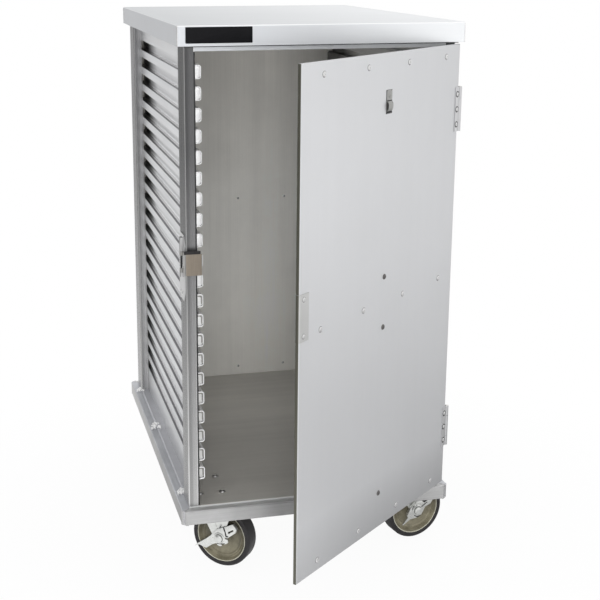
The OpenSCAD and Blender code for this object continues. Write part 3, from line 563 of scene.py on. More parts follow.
def weld_metal(name, colour):
    """Bare aluminium weld: bright crests over a frosted, slightly sooty skin"""
    finish = Finish(name, Metallic=1.0)
    frost = finish.noise(900, detail=4)
    tint = finish.shade(finish.shade(colour, frost, 0.1), finish.noise(180), 0.12)
    return finish.skin(tint, finish.spread(frost, 0.3, 0.5), frost, 0.25, 0.3 * MM)


def tyre_rubber(name):
    """Near-black rubber with a dusty tread"""
    finish = Finish(name, Metallic=0.0, Specular_IOR_Level=0.4)
    dust = finish.noise(60, detail=5)
    specks = finish.noise(700)
    tint = finish.shade((0.016, 0.015, 0.016), specks, 0.15)
    tint = finish.blend(finish.between(dust, 0.45, 0.75, 0.0, 0.35), tint, (0.055, 0.052, 0.052))
    return finish.skin(tint, finish.spread(dust, 0.48, 0.68), specks, 0.2)


def hub_plastic(name, dark, pale, top_shade):
    """Olive moulding with a faintly marbled skin, darker up under the rack than by the floor: painted shade
    """
    finish = Finish(name, Metallic=0.0, Specular_IOR_Level=0.5)
    marble = finish.noise(55, detail=5, rough=0.6)
    specks = finish.noise(800, detail=2)
    tint = finish.blend(finish.fade(marble, 0.35, 0.65), dark, pale)
    tint = finish.shade(tint, specks, 0.08)
    # Darker at the top than at the foot: painted shade
    tint = finish.shade(tint, finish.between(finish.at("Z"), 0.040, 0.088, 0.7, 0.3), top_shade)
    return finish.skin(tint, finish.spread(marble, 0.34, 0.5), specks, 0.15)


def black_plate(name):
    """Satin black enamel with a trace of orange peel"""
    finish = Finish(name, Metallic=0.0, Specular_IOR_Level=0.12)
    peel = finish.noise(400)
    tint = finish.shade((0.005, 0.005, 0.006), peel, 0.2)
    return finish.skin(tint, finish.spread(peel, 0.38, 0.5), peel, 0.1, edge=0.2 * MM)


FINISHES = {
    "canopy_sheet": canopy_aluminium("canopy aluminium"),
    "wall_sheet": pressed_aluminium("pressed wall aluminium"),
    "back_sheet": back_aluminium("back aluminium"),
    "post_sheet": post_aluminium("post aluminium", (0.12, 0.42), (0.15, 0.76), 0.74),
    "floor_sheet": floor_aluminium("floor aluminium"),
    "bumper_rail": rail_aluminium("rail aluminium, across", 0.56, "X"),
    "channel_steel": mill_aluminium("channel aluminium", 0.50, "X", 0.44),
    "rivet_aluminium": brushed_steel("rivet aluminium", 0.72, "Z", 0.22, dirt=0.04),
    "bolt_steel": brushed_steel("bolt steel", (0.78, 0.77, 0.75), "Z"),
    "hinge_steel": brushed_steel("hinge steel", (0.66, 0.66, 0.67), "Z", 0.38, dirt=0.04),
    "latch_steel": latch_steel("latch steel"),
    "spring_steel": brushed_steel("spring steel", 0.10, "Z"),
    "caster_steel": zinc_plate("caster zinc", (0.70, 0.71, 0.69), 0.32),
    "lever_steel": zinc_plate("lever zinc", (0.74, 0.75, 0.73), 0.28),
    "hub_plastic": hub_plastic("hub moulding", (0.073, 0.066, 0.043), (0.130, 0.119, 0.083), 0.58),
    "tyre_rubber": tyre_rubber("tyre rubber"),
    "door_sheet": door_aluminium("door aluminium", (0.61, 0.615, 0.628), 0.014),
    "plate_aluminium": door_aluminium("wear plate aluminium", (0.55, 0.55, 0.545), 0.10),
    "clip_steel": brushed_steel("clip steel", (0.36, 0.36, 0.35), "X", 0.28),
    "screw_steel": brushed_steel("screw steel", (0.16, 0.155, 0.15), "Z", 0.34),
}
SIDE_RAIL = rail_aluminium("rail aluminium, along", (0.53, 0.54, 0.565), "Y")
REAR_POST = post_aluminium("rear post aluminium", (0.37, 0.60), (0.48, 0.90), (0.5, 0.5, 0.49))
# Dark steel: the latch pin's own finish, and the finish of the dark pieces that stand in for shadow
DARK_STEEL_AND_SHADE = brushed_steel("dark steel", (0.05, 0.05, 0.052), "Z", 0.4)
OWN_FINISHES = {
    "base_rail_left": SIDE_RAIL, "base_rail_right": SIDE_RAIL,
    "post_rear_left": REAR_POST, "post_rear_right": REAR_POST,
    "latch_bracket": mill_aluminium("latch plate aluminium", 0.50, "Z", 0.36), "latch_pin": DARK_STEEL_AND_SHADE,
}
LEDGE_END = ledge_end_aluminium("ledge end aluminium")
PAINTED_HOLLOW_SHADE = mill_aluminium("hollow's shade", (0.19, 0.187, 0.175), "X", 0.5, metal=0.2)
PAINTED_SHADOW_SEAM = mill_aluminium("dark seam", (0.012, 0.012, 0.013), "Z", 0.5, metal=0.0)
RIM_PLASTIC = hub_plastic("hub rim moulding", (0.36, 0.35, 0.28), (0.46, 0.45, 0.38), 0.15)
WELD = weld_metal("weld metal", 0.93)
GROUND_WELD = weld_metal("ground weld metal", (0.58, 0.58, 0.60))
BLACK = black_plate("black enamel")


def finish_frame():
    """Gives every CAD node its own finish or its slot's"""
    for part in frame["record"]["subparts"]:
        finish = OWN_FINISHES.get(part["node"], FINISHES[part["material_slot"]])
        for place in NODES[part["node"]].material_slots:
            place.material = finish


# Heads of rivets and screws

NEAR_HINGE = 40 * MM
WIDE_RING = 1.3


def heads_of(node):
    """The middle of each head's flat foot, the direction it faces and its radius, in the frame"""
    shape = bmesh.new()
    shape.from_mesh(NODES[node].data)
    bmesh.ops.remove_doubles(shape, verts=shape.verts, dist=MM / 1000)
    waiting = set(shape.faces)
    heads = []
    while waiting:
        front = [waiting.pop()]
        island = []
        while front:
            face = front.pop()
            island.append(face)
            near = {other for edge in face.edges for other in edge.link_faces} & waiting
            waiting -= near
            front.extend(near)
        spread = {}
        for face in island:
            way = tuple(round(part, 2) for part in face.normal)
            spread.setdefault(way, []).append(face)
        foot = max(spread.values(), key=lambda faces: sum(face.calc_area() for face in faces))
        points = {vertex for face in foot for vertex in face.verts}
        middle = sum((vertex.co for vertex in points), Vector()) / len(points)
        radius = max((vertex.co - middle).length for vertex in points)
        heads.append((tuple(round(part, 6) for part in middle), foot[0].normal.normalized() * -1, radius))
    shape.free()
    return sorted(heads, key=lambda head: head[0])


def seat(head, turn=0.0, swell=1.0):
    """Where a head modelled on the Z axis, one unit in radius, goes"""
    middle, way, radius = head
    upright = way.to_track_quat("Z", "Y").to_matrix().to_4x4()
    size = Matrix.Scale(swell * radius / MM, 4)
    return Matrix.Translation(middle) @ upright @ Matrix.Rotation(turn, 4, "Z") @ size


def pop_rivets(name, node, body, swell=1.0):
    """Domed heads with the hole that the pulled pin leaves"""
    head = turned("head", [
        (0, 0), (1, 0), (1, 0.04), (0.93, 0.14), (0.8, 0.22), (0.62, 0.28), (0.45, 0.31),
        (0.36, 0.31), (0.31, 0.29), (0.28, 0.16), (0.1, 0.13), (0, 0.13)
    ], steps=24)
    rivets = copies_at(name, head, [seat(place, swell=swell) for place in heads_of(node)])
    hand_over(rivets, body, "rivet_aluminium", replaces=[node])


def rivet_shadow_rings():
    """The thin dark rings of painted shadow round each rivet of the door, wider at the hinges, and round the
    bolts
    """
    ring = turned("ring", [(0, 0), (1.32, 0), (1.32, 0.02), (1.22, 0.05), (0, 0.05)], steps=24)
    hinge = pivot("door_swing").xy
    rivets = []
    for head in heads_of("door_rivets"):
        near = (Vector(head[0]).xy - hinge).length < NEAR_HINGE
        rivets.append(seat(head, swell=WIDE_RING if near else 1.0))
    rings = copies_at("door_rivet_shadow_rings", copy_at(ring, Matrix()), rivets)
    hand_over(rings, "door", "door_sheet", DARK_STEEL_AND_SHADE)
    floor_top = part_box("floor_pan")[1].z - 3 * MM
    bolts = [head for head in heads_of("caster_bolts") if head[1].z > 0.9 and head[0][2] > floor_top]
    rings = copies_at("bolt_shadow_rings", ring, [seat(head) for head in bolts])
    hand_over(rings, "cabinet", "floor_sheet", DARK_STEEL_AND_SHADE)


def cross_screws(name, node, body):
    """Round heads with a cross recess, each stopped at its own turn"""
    dome = [math.radians(angle) for angle in (12, 30, 50, 70, 90)]
    points = [(0.98 * math.cos(angle), 0.5 * math.sin(angle)) for angle in dome]
    head = turned("head", [(0, 0), (1, 0)] + points, steps=32)
    for across in (0, 90):
        wedge = plate_of("wedge", [(-0.42, 0.7), (-0.16, 0.16), (0.16, 0.16), (0.42, 0.7)], -0.09, 0.09)
        wedge.data.transform(spin(across, "Z"))
        combine(head, wedge, "DIFFERENCE")
    places = [seat(place, 0.5 + 1.1 * number) for number, place in enumerate(heads_of(node))]
    hand_over(copies_at(name, head, places), body, "screw_steel", replaces=[node])


# The canopy's front, its plate placed from the left and from the top

PLATE_X = (15 * MM, 134.5 * MM)
PLATE_Z = (31.5 * MM, 3.3 * MM)
PLATE_T = 0.9 * MM
PLATE_CORNER = 1.2 * MM


def front_plate():
    """The bare plate"""
    low, high = CANOPY
    foot = (low.x + PLATE_X[0], low.y - PLATE_T, high.z - PLATE_Z[0])
    plate = block("front_plate", foot, (low.x + PLATE_X[1], low.y, high.z - PLATE_Z[1]))
    bpy.ops.object.mode_set(mode="EDIT")
    pick_edges(plate, lambda a, b: abs(a.y - b.y) > PLATE_T / 2)
    bpy.ops.mesh.bevel(offset=PLATE_CORNER, segments=4)
    bpy.ops.object.mode_set(mode="OBJECT")
    round_edges(plate, 0.25 * MM, 2)
    hand_over(plate, "cabinet", finish=BLACK)


def canopy_shadow_strip():
    """A dark strip of painted shadow under the skirt, where the header starts"""
    low, high = CANOPY
    foot = (low.x + 12 * MM, low.y + 0.4 * MM, low.z - 1.3 * MM)
    seam = block("canopy_shadow_strip", foot, (high.x - 12 * MM, low.y + 2 * MM, low.z + 0.2 * MM), 0.3 * MM, 2)
    hand_over(seam, "cabinet", "canopy_sheet", DARK_STEEL_AND_SHADE)


# What closes the pan ledges' front ends, and the strip of painted shadow beside them

LEDGES = 21
LEDGE_HEAD = 990.0
LEDGE_PITCH = 38.1
LAST_FLUSH = 8
DEEPEST = 3.6
FIRST_HOLLOW = 11


def at_ledges(name, form, first, finish):
    """One piece with a form at the front of each ledge, deeper and deeper in the lower ones"""
    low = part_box("left_wall")[0]
    twins = []
    for number in range(first, LEDGES):
        level = (LEDGE_HEAD - number * LEDGE_PITCH) * MM
        recess = 0.15 + DEEPEST * max(0.0, (number - LAST_FLUSH) / (LEDGES - 1 - LAST_FLUSH))
        for side_x, wall_x in ((1, low.x + 0.05 * MM), (-1, 2 * MIDDLE_X - low.x - 0.05 * MM)):
            place = Matrix.Translation((wall_x, low.y + recess * MM, level))
            twin = copy_at(form, place @ Matrix.Diagonal((side_x, 1, 1, 1)))
            if side_x < 0:
                twin.data.flip_normals()
            twins.append(twin)
    bpy.data.objects.remove(form)
    hand_over(join(name, twins), "cabinet", "wall_sheet", finish)


def ledge_ends():
    """A pressed-in end for every ledge, and a dark plate of painted shade in the hollow of each lower one"""
    outline = [(0, -10.9)] + arc(6.35, -5.35, 5.5, -90, 0, 6) + arc(7.85, 6.85, 4, 0, 90, 5) + [(0, 10.9)]
    at_ledges("ledge_ends", plate_of("end", outline, 0, 1.2, 0.4, 2), 0, LEDGE_END)
    outline = [(3.0, 9.6), (8.6, 9.5), (10.5, 8.5), (11.3, 6.5), (11.3, -5.0), (10.4, -8.0)]
    outline += [(9.3, -4.8), (9.3, 5.0), (8.2, 6.9), (3.0, 7.6)]
    hollow = plate_of("hollow", outline, -0.15, 0.1, 0.05, 1)
    at_ledges("ledge_hollows", hollow, FIRST_HOLLOW, PAINTED_HOLLOW_SHADE)


def post_shadow_strips():
    """The strip of painted shadow between each front post and the ledges beside it"""
    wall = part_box("left_wall")[0]
    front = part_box("post_front_left")[0].y
    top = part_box("header_rail")[0].z - MM
    strips = []
    for side_x, x in ((1, wall.x), (-1, 2 * MIDDLE_X - wall.x)):
        ends = (x, x + side_x * 2.6 * MM)
        low = (min(ends), front + 0.1 * MM, wall.z + MM)
        strips.append(block("strip", low, (max(ends), front + 0.95 * MM, top), 0.3 * MM, 2))
    hand_over(join("post_shadow_strips", strips), "cabinet", "post_sheet", PAINTED_SHADOW_SEAM)


# Welds

def bead(start, end, width, rise, up=(0, 0, 1)):
    """A run of overlapping puddles from start to end, melted into one bead"""
    start = Vector(start)
    end = Vector(end)
    way = (end - start).normalized()
    side = way.cross(Vector(up)).normalized()
    up = side.cross(way)
    pitch = 0.42 * width
    count = max(2, round((end - start).length / pitch) + 1)
    puddles = []
    for number in range(count):
        swell = 1 + 0.12 * math.sin(2.4 * number + 7 * start.x) + 0.06 * math.sin(5.1 * number)
        at = start.lerp(end, number / (count - 1)) + side * (0.05 * width * math.sin(1.7 * number))
        deselect()
        bpy.ops.mesh.primitive_uv_sphere_add(segments=14, ring_count=9, radius=0.5)
        puddle = bpy.context.object
        turn = Matrix((way, side, up)).transposed().to_4x4()
        size = Matrix.Diagonal((0.8 * width * swell, width * swell, 2 * rise * swell, 1))
        puddle.data.transform(Matrix.Translation(at) @ turn @ size)
        puddles.append(puddle)
    return join("bead", puddles)


def weld_patch(x, y, z, wide, long):
    """A patch of short beads laid over one another in every direction"""
    runs = []
    for number in range(15):
        across = 0.4 * wide * math.sin(2.3 * number)
        at = Vector((x + across, y + 0.4 * long * math.cos(1.7 * number + 0.6), z))
        half = Vector((math.cos(1.9 * number), math.sin(1.9 * number), 0)) * 3.6 * MM
        runs.append(bead(at - half, at + half, 4.6 * MM, (3.2 + 1.3 * math.sin(3.1 * number)) * MM))
    return join("patch", runs)


def melt(name, beads, grain, slot, finish):
    """Beads melted into one piece, with nothing left that is finer than the grain"""
    piece = modify(join(name, beads), "REMESH", mode="VOXEL", voxel_size=grain)
    hand_over(piece, "cabinet", slot, finish, smooth=60)


def rail_welds():
    """Beads at the rail's ground corners, and patches along its top and at the posts' feet"""
    low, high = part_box("base_rail_left")
    front_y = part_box("base_rail_front")[0].y
    middle_x = (low.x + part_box("base_rail_right")[1].x) / 2
    middle_y = (front_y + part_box("base_rail_rear")[1].y) / 2
    width = 4.5 * MM
    corner = (low.x + width - middle_x, front_y + width - middle_y)
    beads = []
    for side_x in (1, -1):
        for side_y in (1, -1):
            x = middle_x + side_x * corner[0]
            y = middle_y + side_y * corner[1]
            out = (-side_x, -side_y, 0)
            beads.append(bead((x, y, low.z + 2 * MM), (x, y, high.z - 1.5 * MM), width, 0.9 * MM, out))
            inward = (x + side_x * 9 * MM, y + side_y * 9 * MM, high.z)
            beads.append(bead((x, y, high.z), inward, width, 0.8 * MM))
    melt("corner_welds", beads, 0.5 * MM, "bumper_rail", GROUND_WELD)
    post_y = front_y + high.x - low.x
    rear_y = 2 * middle_y - post_y
    patches = []
    for side_x, wall_x in ((1, high.x), (-1, 2 * middle_x - high.x)):
        foot_x = wall_x - side_x * MM
        patches.append(weld_patch(foot_x, post_y + 72 * MM, high.z + MM, 14 * MM, 24 * MM))
        patches.append(weld_patch(wall_x, post_y + 418 * MM, high.z + 1.5 * MM, 20 * MM, 38 * MM))
        patches.append(weld_patch(foot_x, rear_y - 55 * MM, high.z + MM, 16 * MM, 20 * MM))
    melt("rail_welds", patches, 0.5 * MM, "bumper_rail", WELD)


def canopy_welds():
    """Beads down the canopy's corners"""
    low, high = CANOPY
    beads = []
    for x, side_x in ((low.x, -1), (high.x, 1)):
        for y, side_y in ((low.y, -1), (high.y, 1)):
            at = (x - side_x * 0.35 * MM, y - side_y * 0.35 * MM)
            out = (side_x, side_y, 0)
            beads.append(bead((*at, low.z + MM), (*at, high.z - 2.5 * MM), 2.6 * MM, 0.8 * MM, out))
    melt("canopy_seams", beads, 0.4 * MM, "canopy_sheet", WELD)


# Casters, each modelled with its axle at the origin, its swivel axis at X = -TRAIL and its outer side at -Y

TRAIL = 38.0
WHEEL_R = 63.5
TREAD = 32.0
HUB_R = 53.5
CROWN = 82.2
LEG_IN = 18.0
LEG_T = 3.0
LEG_BEND = 5.0
FORK_BORE = 4.78
HUB_BORE = 4.82
PIN_BORE = 6.07
LEVER_Y = 21.3


def caster_place(corner):
    axle = pivot("wheel_spin_" + corner)
    arm = axle - pivot("swivel_" + corner)
    return Matrix.Translation(axle) @ Matrix.Rotation(math.atan2(arm.y, arm.x), 4, "Z")


def wheel_form(name, points, steps=128):
    """A closed profile spun round the axle"""
    form = turned(name, points, steps)
    form.data.transform(UPRIGHT)
    return form


def mirrored(half):
    """A profile and its mirror image across Z = 0, as one closed loop"""
    return half + [(x, -z) for x, z in reversed(half)]


def tyre_form():
    edge = TREAD / 2
    half = [(HUB_R, edge - 0.6), (HUB_R + 1, edge), (HUB_R + 4.2, edge), (HUB_R + 4.6, edge - 0.35)]
    half += [(HUB_R + 5.0, edge)] + arc(WHEEL_R - 4, edge - 4, 4, 88, 8, 6)
    half += [(WHEEL_R - 0.02, 6), (WHEEL_R, 2)]
    return wheel_form("tyre", mirrored(half))


def hub_form():
    return wheel_form("hub", mirrored([
        (HUB_BORE, 17.5), (11, 17.5), (12, 16.6), (13.2, 11), (15.5, 9.4), (36, 7.8), (38.6, 8.4),
        (40.4, 10.6), (41.6, 11.3), (43.2, 11.3), (44.4, 10.4), (45.2, 9.2), (47.2, 9.0), (49.2, 11.8),
        (50.4, 14.2), (51.3, 15), (53, 15), (53.47, 14.6)
    ]))


def rim_form():
    """The pale bead round each side of the hub"""
    rim = wheel_form("rim", [(51.6, 14.6), (51.9, 15.3), (52.6, 15.6), (53.3, 15.3), (53.4, 14.6)], 96)
    return join("rim", [rim, copy_at(rim, spin(180, "Z"))])


def fork_form(flare):
    """Pressed fork: a crown bent down on each side into a tapering leg, with a swaged rib"""
    outer = LEG_IN + LEG_T
    bend = LEG_BEND
    inner = bend - LEG_T
    under = CROWN - LEG_T
    section = [(-outer, -14)] + arc(-outer + bend, CROWN - bend, bend, 180, 90, 5)
    section += arc(outer - bend, CROWN - bend, bend, 90, 0, 5) + [(outer, -14), (LEG_IN, -14)]
    section += arc(LEG_IN - inner, under - inner, inner, 0, 90, 4)
    section += arc(-LEG_IN + inner, under - inner, inner, 90, 180, 4) + [(-LEG_IN, -14)]
    fork = plate_of("fork", section, -20, 80)
    fork.data.transform(LENGTHWISE)
    side = arc(0, 0, 13, -149.7, 9.8, 16) + flare + [(-TRAIL + 37, CROWN + 1), (-TRAIL - 25, CROWN + 1)]
    combine(fork, plate_of("form", side, -30, 30), "INTERSECT")
    crown = turned("crown", disc(28, under + 0.01, CROWN - 0.01), steps=72)
    crown.data.transform(shift(-TRAIL))
    combine(fork, crown, "UNION")
    combine(fork, wheel_form("hole", disc(FORK_BORE, -30, 30), 40), "DIFFERENCE")
    bore = turned("bore", disc(PIN_BORE, CROWN - 10, CROWN + 10), steps=40)
    bore.data.transform(shift(-TRAIL))
    combine(fork, bore, "DIFFERENCE")
    round_edges(fork, 0.7 * MM, 2)
    ribs = []
    for face in (-1, 1):
        rib = plate_of("rib", arc(-9, 24, 3.2, 140, 320, 8) + arc(-24, 64, 6, -40, 140, 8), 0, 1.4, 0.9, 3)
        rib.data.transform(shift(y=outer - 0.4))
        if face < 0:
            rib.data.transform(Matrix.Diagonal((1, -1, 1, 1)))
            rib.data.flip_normals()
        ribs.append(rib)
    return join("fork", [fork] + ribs)


def lever_form(outline, lip, tabs, slotted=None):
    """Brake lever: a pedal with a lip, a collar round the axle's head, tabs, and maybe a slot"""
    lever = plate_of("lever", outline, -2.5, 0)
    if slotted:
        slot = plate_of("slot", arc(-5.4, 0, 2.3, 40, 320, 8) + arc(5.4, 0, 1.5, -90, 90, 6), -9, 9)
        slot.data.transform(slotted)
        combine(lever, slot, "DIFFERENCE")
    combine(lever, wheel_form("hole", disc(HUB_BORE, -9, 9), 32), "DIFFERENCE")
    round_edges(lever, 0.5 * MM, 2)
    pieces = [lever, plate_of("lip", lip, -7, 0, 0.5, 2)]
    pieces += [plate_of("tab", tab, -1.4, 0, 0.4, 2) for tab in tabs]
    collar = [(8.7, 2), (8.7, 4), (9.2, 4.4), (10.6, 4.2), (11.6, 3.2), (11.9, 2)]
    lever = join("lever", pieces + [wheel_form("collar", collar, 48)])
    lever.data.transform(shift(y=-LEVER_Y))
    return lever


def lever_shadows(outlines):
    """The dark marks of painted shadow between a lever's layers, and round the head of the axle"""
    ring = wheel_form("ring", [(8.2, 1.9), (8.2, 3.5), (9.3, 3.5), (9.3, 1.9)], 48)
    shadows = join("shadows", [ring] + [plate_of("gap", outline, -2.7, -2.2) for outline in outlines])
    shadows.data.transform(shift(y=-LEVER_Y))
    return shadows


def left_lever():
    """Slotted and pressed down"""
    outline = [
        (12.6, 4.4), (18.4, 3.5), (29.8, 12.9), (38.5, 20.8), (41.1, 27.3), (38.5, 32.6), (32.5, 37.9),
        (19.4, 30.2), (10.7, 25.3), (5.4, 23.3), (-5.1, 18.3), (-12.3, 10.7), (-19.4, 1.4), (-30.1, -7.9),
        (-48.2, -21.6), (-55.4, -28.3), (-54.9, -28.8), (-45.5, -24.4), (-29.5, -28.2), (-14.2, -16.1),
        (-7.1, -12.9), (5.2, -12.6), (15.7, -9.6), (20.1, -5.4), (19.3, 0.3), (13.2, 1.0)
    ]
    lip = [(37.6, 19.9)] + outline[3:7] + [(31.4, 37.2), (37, 31.8), (39.4, 27)]
    hook = [(-2.5, 17), (-1.4, 24), (2.4, 29), (5.2, 27.6), (3.6, 21)]
    catch = [(-6.4, -11), (-5.4, -16.4), (0, -18.2), (5.2, -16.8), (4.6, -11)]
    # Outlines of painted shadow on the lever
    shadows = [
        [
            (8.6, 24.5), (11.4, 26.2), (14.9, 16.6), (16.8, 9.0), (21.4, 8.0), (17.6, 5.0), (14.1, 6.8),
            (12.4, 15.4)
        ],
        [(-4.6, -11.6), (7.2, -10.7), (12.6, -7.6), (12.2, -9.7), (6.0, -12.6), (-4.2, -13.2)],
        [(0.2, 22.6), (2.9, 27.4), (4.4, 26.6), (2.9, 22.2), (1.4, 20.6)]
    ]
    slotted = shift(26.2, 0, 19.6) @ spin(-35.5, "Y")
    return lever_shadows(shadows), lever_form(outline, lip, [hook, catch], slotted)


def right_lever():
    """With its hooked prong up"""
    outline = [
        (-35.2, -27.1), (-22.4, -13.0), (-25.5, -5.3), (-17.6, 9.8), (-4.6, 19.5), (8.7, 21.2), (16.7, 13.4),
        (25.2, 17.8), (31.7, 23.6), (34.4, 23.4), (37.2, 20.4), (36.9, 15.4), (32.3, 9.3), (19.0, 4.0),
        (15.5, -3.2), (10.1, -11.9), (-3.2, -17.1), (-16.6, -17.6), (-33.8, -27.8)
    ]
    lip = outline[2:5] + [(-5.4, 20.4), (-18.8, 10.6), (-26.6, -5)]
    prong = [(-2, 15), (-0.6, 24), (6.4, 27.4), (9.4, 25), (8, 16)]
    # Outlines of painted shadow on the lever
    shadows = [
        [
            (-12.5, 4.9), (-11.7, 9.9), (-7.3, 11.9), (-7.2, 10.4), (-10.2, 7.7), (-10.6, -0.4),
            (-8.2, -4.5), (-11.3, -2.3)
        ],
        [(9.6, 6.4), (18.2, 12.4), (24.1, 14.8), (24.5, 13.2), (19.0, 10.6), (10.6, 4.6)],
        [(-7.5, -9.7), (0.5, -13.8), (8.4, -12.0), (8.0, -13.8), (0.6, -16.1), (-7.4, -11.4)]
    ]
    return lever_shadows(shadows), lever_form(outline, lip, [prong])


def fit(form, corner, kind, made, body, slot, finish=None):
    """A copy of a form at a corner, in place of its kind's CAD node unless it has a finish of its own"""
    node = kind + "_" + corner
    piece = name_it(copy_at(form, caster_place(corner)), node + "_" + made)
    hand_over(piece, body + "_" + corner, slot, finish, [] if finish else [node])


def lever_shadow_block():
    """A dark block of painted shadow behind the right lever"""
    outline = [(2.0, 33.1), (35.3, 29.9), (33.7, 21.5), (25.4, 14.1), (16.7, 13.6), (8, 12), (3, 24.8)]
    shoe = plate_of("lever_shadow_block_fr", outline, -20.6, -17.9, 0.8, 2)
    shoe.data.transform(caster_place("fr"))
    hand_over(shoe, "fork_fr", "caster_steel", DARK_STEEL_AND_SHADE)


def casters():
    """Tyre, hub, rim and fork at each corner, the left front fork broader, and the levers at the front"""
    flare = [(15.9, 28.2), (21.2, 43.7), (24.8, 54), (24, 60), (16, 63.4), (-1, 64)]
    tyre, hub, rim, slim, broad = tyre_form(), hub_form(), rim_form(), fork_form([]), fork_form(flare)
    levers = {"fl": left_lever(), "fr": right_lever()}
    for corner in CORNERS:
        fit(tyre, corner, "tyre", "ring", "wheel", "tyre_rubber")
        fit(hub, corner, "hub", "moulding", "wheel", "hub_plastic")
        fit(rim, corner, "hub", "rim", "wheel", "hub_plastic", RIM_PLASTIC)
        fit(broad if corner == "fl" else slim, corner, "fork", "pressing", "fork", "caster_steel")
        if corner in levers:
            shadows, pressing = levers[corner]
            fit(pressing, corner, "brake_lever", "pressing", "brake", "lever_steel")
            # The lever's painted shadows
            fit(shadows, corner, "brake_lever", "shadows", "brake", "lever_steel", DARK_STEEL_AND_SHADE)
        if corner == "fr":
            # A dark block of painted shadow behind the right lever
            lever_shadow_block()
    for form in (tyre, hub, rim, slim, broad, *levers["fl"], *levers["fr"]):
        bpy.data.objects.remove(form)


# The latch's spring, and the black strip of painted shadow along the top of its hook

SPRING_R = 2.6
SPRING_LEG = 13.5
COIL_H = 18.0
COIL_TURNS = 6
WIRE_R = 0.45


def latch_spring():
    """A coil of wire round the latch's pin, one leg back along the plate and one in the arm's window"""
    deselect()
    bpy.ops.mesh.primitive_circle_add(vertices=12, radius=WIRE_R * MM)
    coil = name_it(bpy.context.object, "coil")
    coil.data.transform(shift(SPRING_R, 0, -COIL_H / 2) @ UPRIGHT)
    modify(
        coil, "SCREW", axis="Z", angle=COIL_TURNS * 2 * math.pi, screw_offset=COIL_H * MM,
        steps=168, render_steps=168, use_smooth_shade=True
    )
    legs = []
    for end in (-1, 1):
        tip = [(WIRE_R, SPRING_LEG - 0.3), (WIRE_R - 0.15, SPRING_LEG), (0, SPRING_LEG)]
        leg = turned("leg", [(0, 0), (WIRE_R, 0)] + tip, steps=12)
        leg.data.transform(shift(SPRING_R, 0, end * COIL_H / 2) @ spin(-end * 90, "X"))
        legs.append(leg)
    spring = join("latch_spring_coil", [coil] + legs)
    spring.data.transform(Matrix.Translation(pivot("latch_swing")))
    take(spring)
    bpy.ops.object.mode_set(mode="EDIT")
    pick_all()
    bpy.ops.mesh.fill_holes(sides=12)
    face_outwards()
    hand_over(spring, "cabinet", "spring_steel", replaces=["latch_spring"])


def latch_shadow_strip():
    """A black strip in rubber's finish above the closed door's edge, standing in for the shadow along the
    top of the hook
    """
    low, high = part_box("latch_arm")
    foot = (low.x + 3 * MM, low.y + 0.05 * MM, high.z - 0.3 * MM)
    strip = block("latch_shadow_strip", foot, (high.x - 2 * MM, low.y + 1.2 * MM, high.z + 6 * MM), 0.5 * MM)
    hand_over(strip, "latch", finish=FINISHES["tyre_rubber"])


# The card clip on the door

CLIP_X = -255.5 * MM


def card_clip():
    """A sprung strip: its base riveted flat on the door, its tongue bent out and back to hold a card"""
    place = on_door() @ Matrix.Translation((CLIP_X, 0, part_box("card_clip")[0].z))
    base = plate_of("base", [
        (-8.5, 1.5), (-7.5, 0), (7.5, 0), (8.5, 1.5), (8.5, 38.5), (7.5, 39.8), (-7.5, 39.8), (-8.5, 38.5)
    ], -1, 0, 0.25, 2)
    tongue = plate_of("tongue", [
        (-1, 21), (-2.6, 20), (-3.9, 17.6), (-4.4, 14.5), (-4.3, 10), (-3.4, 6.5), (-2.2, 4.6), (-1.8, 4),
        (-1.5, 4.3), (-1.9, 5.2), (-2.7, 7.2), (-3.5, 10.4), (-3.6, 14.3), (-3.1, 17), (-2.1, 18.9),
        (-1, 19.6)
    ], -7, 7)
    tongue.data.transform(LENGTHWISE)
    head = turned("head", [
        (0, 0), (3.8, 0), (3.8, 0.3), (3.1, 0.9), (1.8, 1.4), (1.2, 1.4), (0.9, 0.8), (0, 0.8)
    ], steps=24)
    head.data.transform(shift(0, -1, 30.4) @ UPRIGHT)
    clip = join("card_clip_strip", [base, tongue, head])
    clip.data.transform(place)
    hand_over(clip, "door", "clip_steel", replaces=["card_clip"])
    # Dark plates of painted shadow: under the tongue's foot, along its crease and round the strip's edge
    shade = plate_of("shade", [(-8.2, 0.6), (8.2, 0.6), (8.2, 3.6), (-8.2, 3.6)], -1.5, -0.9, 0.2, 2)
    crease = plate_of("crease", [(-7.8, 20.8), (7.8, 20.8), (7.8, 22.4), (-7.8, 22.4)], -1.6, -0.9, 0.2, 2)
    outline = plate_of("outline", [(-9.4, -0.6), (9.4, -0.6), (9.4, 40), (-9.4, 40)], -0.3, 0, 0.1, 1)
    clip_shadows = join("card_clip_shadows", [shade, crease, outline])
    clip_shadows.data.transform(place)
    hand_over(clip_shadows, "door", "clip_steel", DARK_STEEL_AND_SHADE)


# Studio

CAMERA_AT = (-0.6324, -2.2821, 1.1945)
CAMERA_TURN = (75.971, -0.026, -13.097)
CAMERA_LENS = 71.99
CAMERA_SHIFT = (0.08, -0.08)
WORLD_LIGHT = 0.7
LEFT_SHADE = 0.12
LEFT_FADE = (-0.72, -0.94)
RIGHT_SHADE = 0.50
RIGHT_FADE = (0.1, 0.7)


def camera():
    data = bpy.data.cameras.new("camera")
    data.lens = CAMERA_LENS
    data.sensor_width = 36
    data.shift_x, data.shift_y = CAMERA_SHIFT
    data.clip_end = 50
    eye = bpy.data.objects.new("camera", data)
    eye.location = CAMERA_AT
    eye.rotation_euler = [math.radians(angle) for angle in CAMERA_TURN]
    link(eye)
    bpy.context.scene.camera = eye


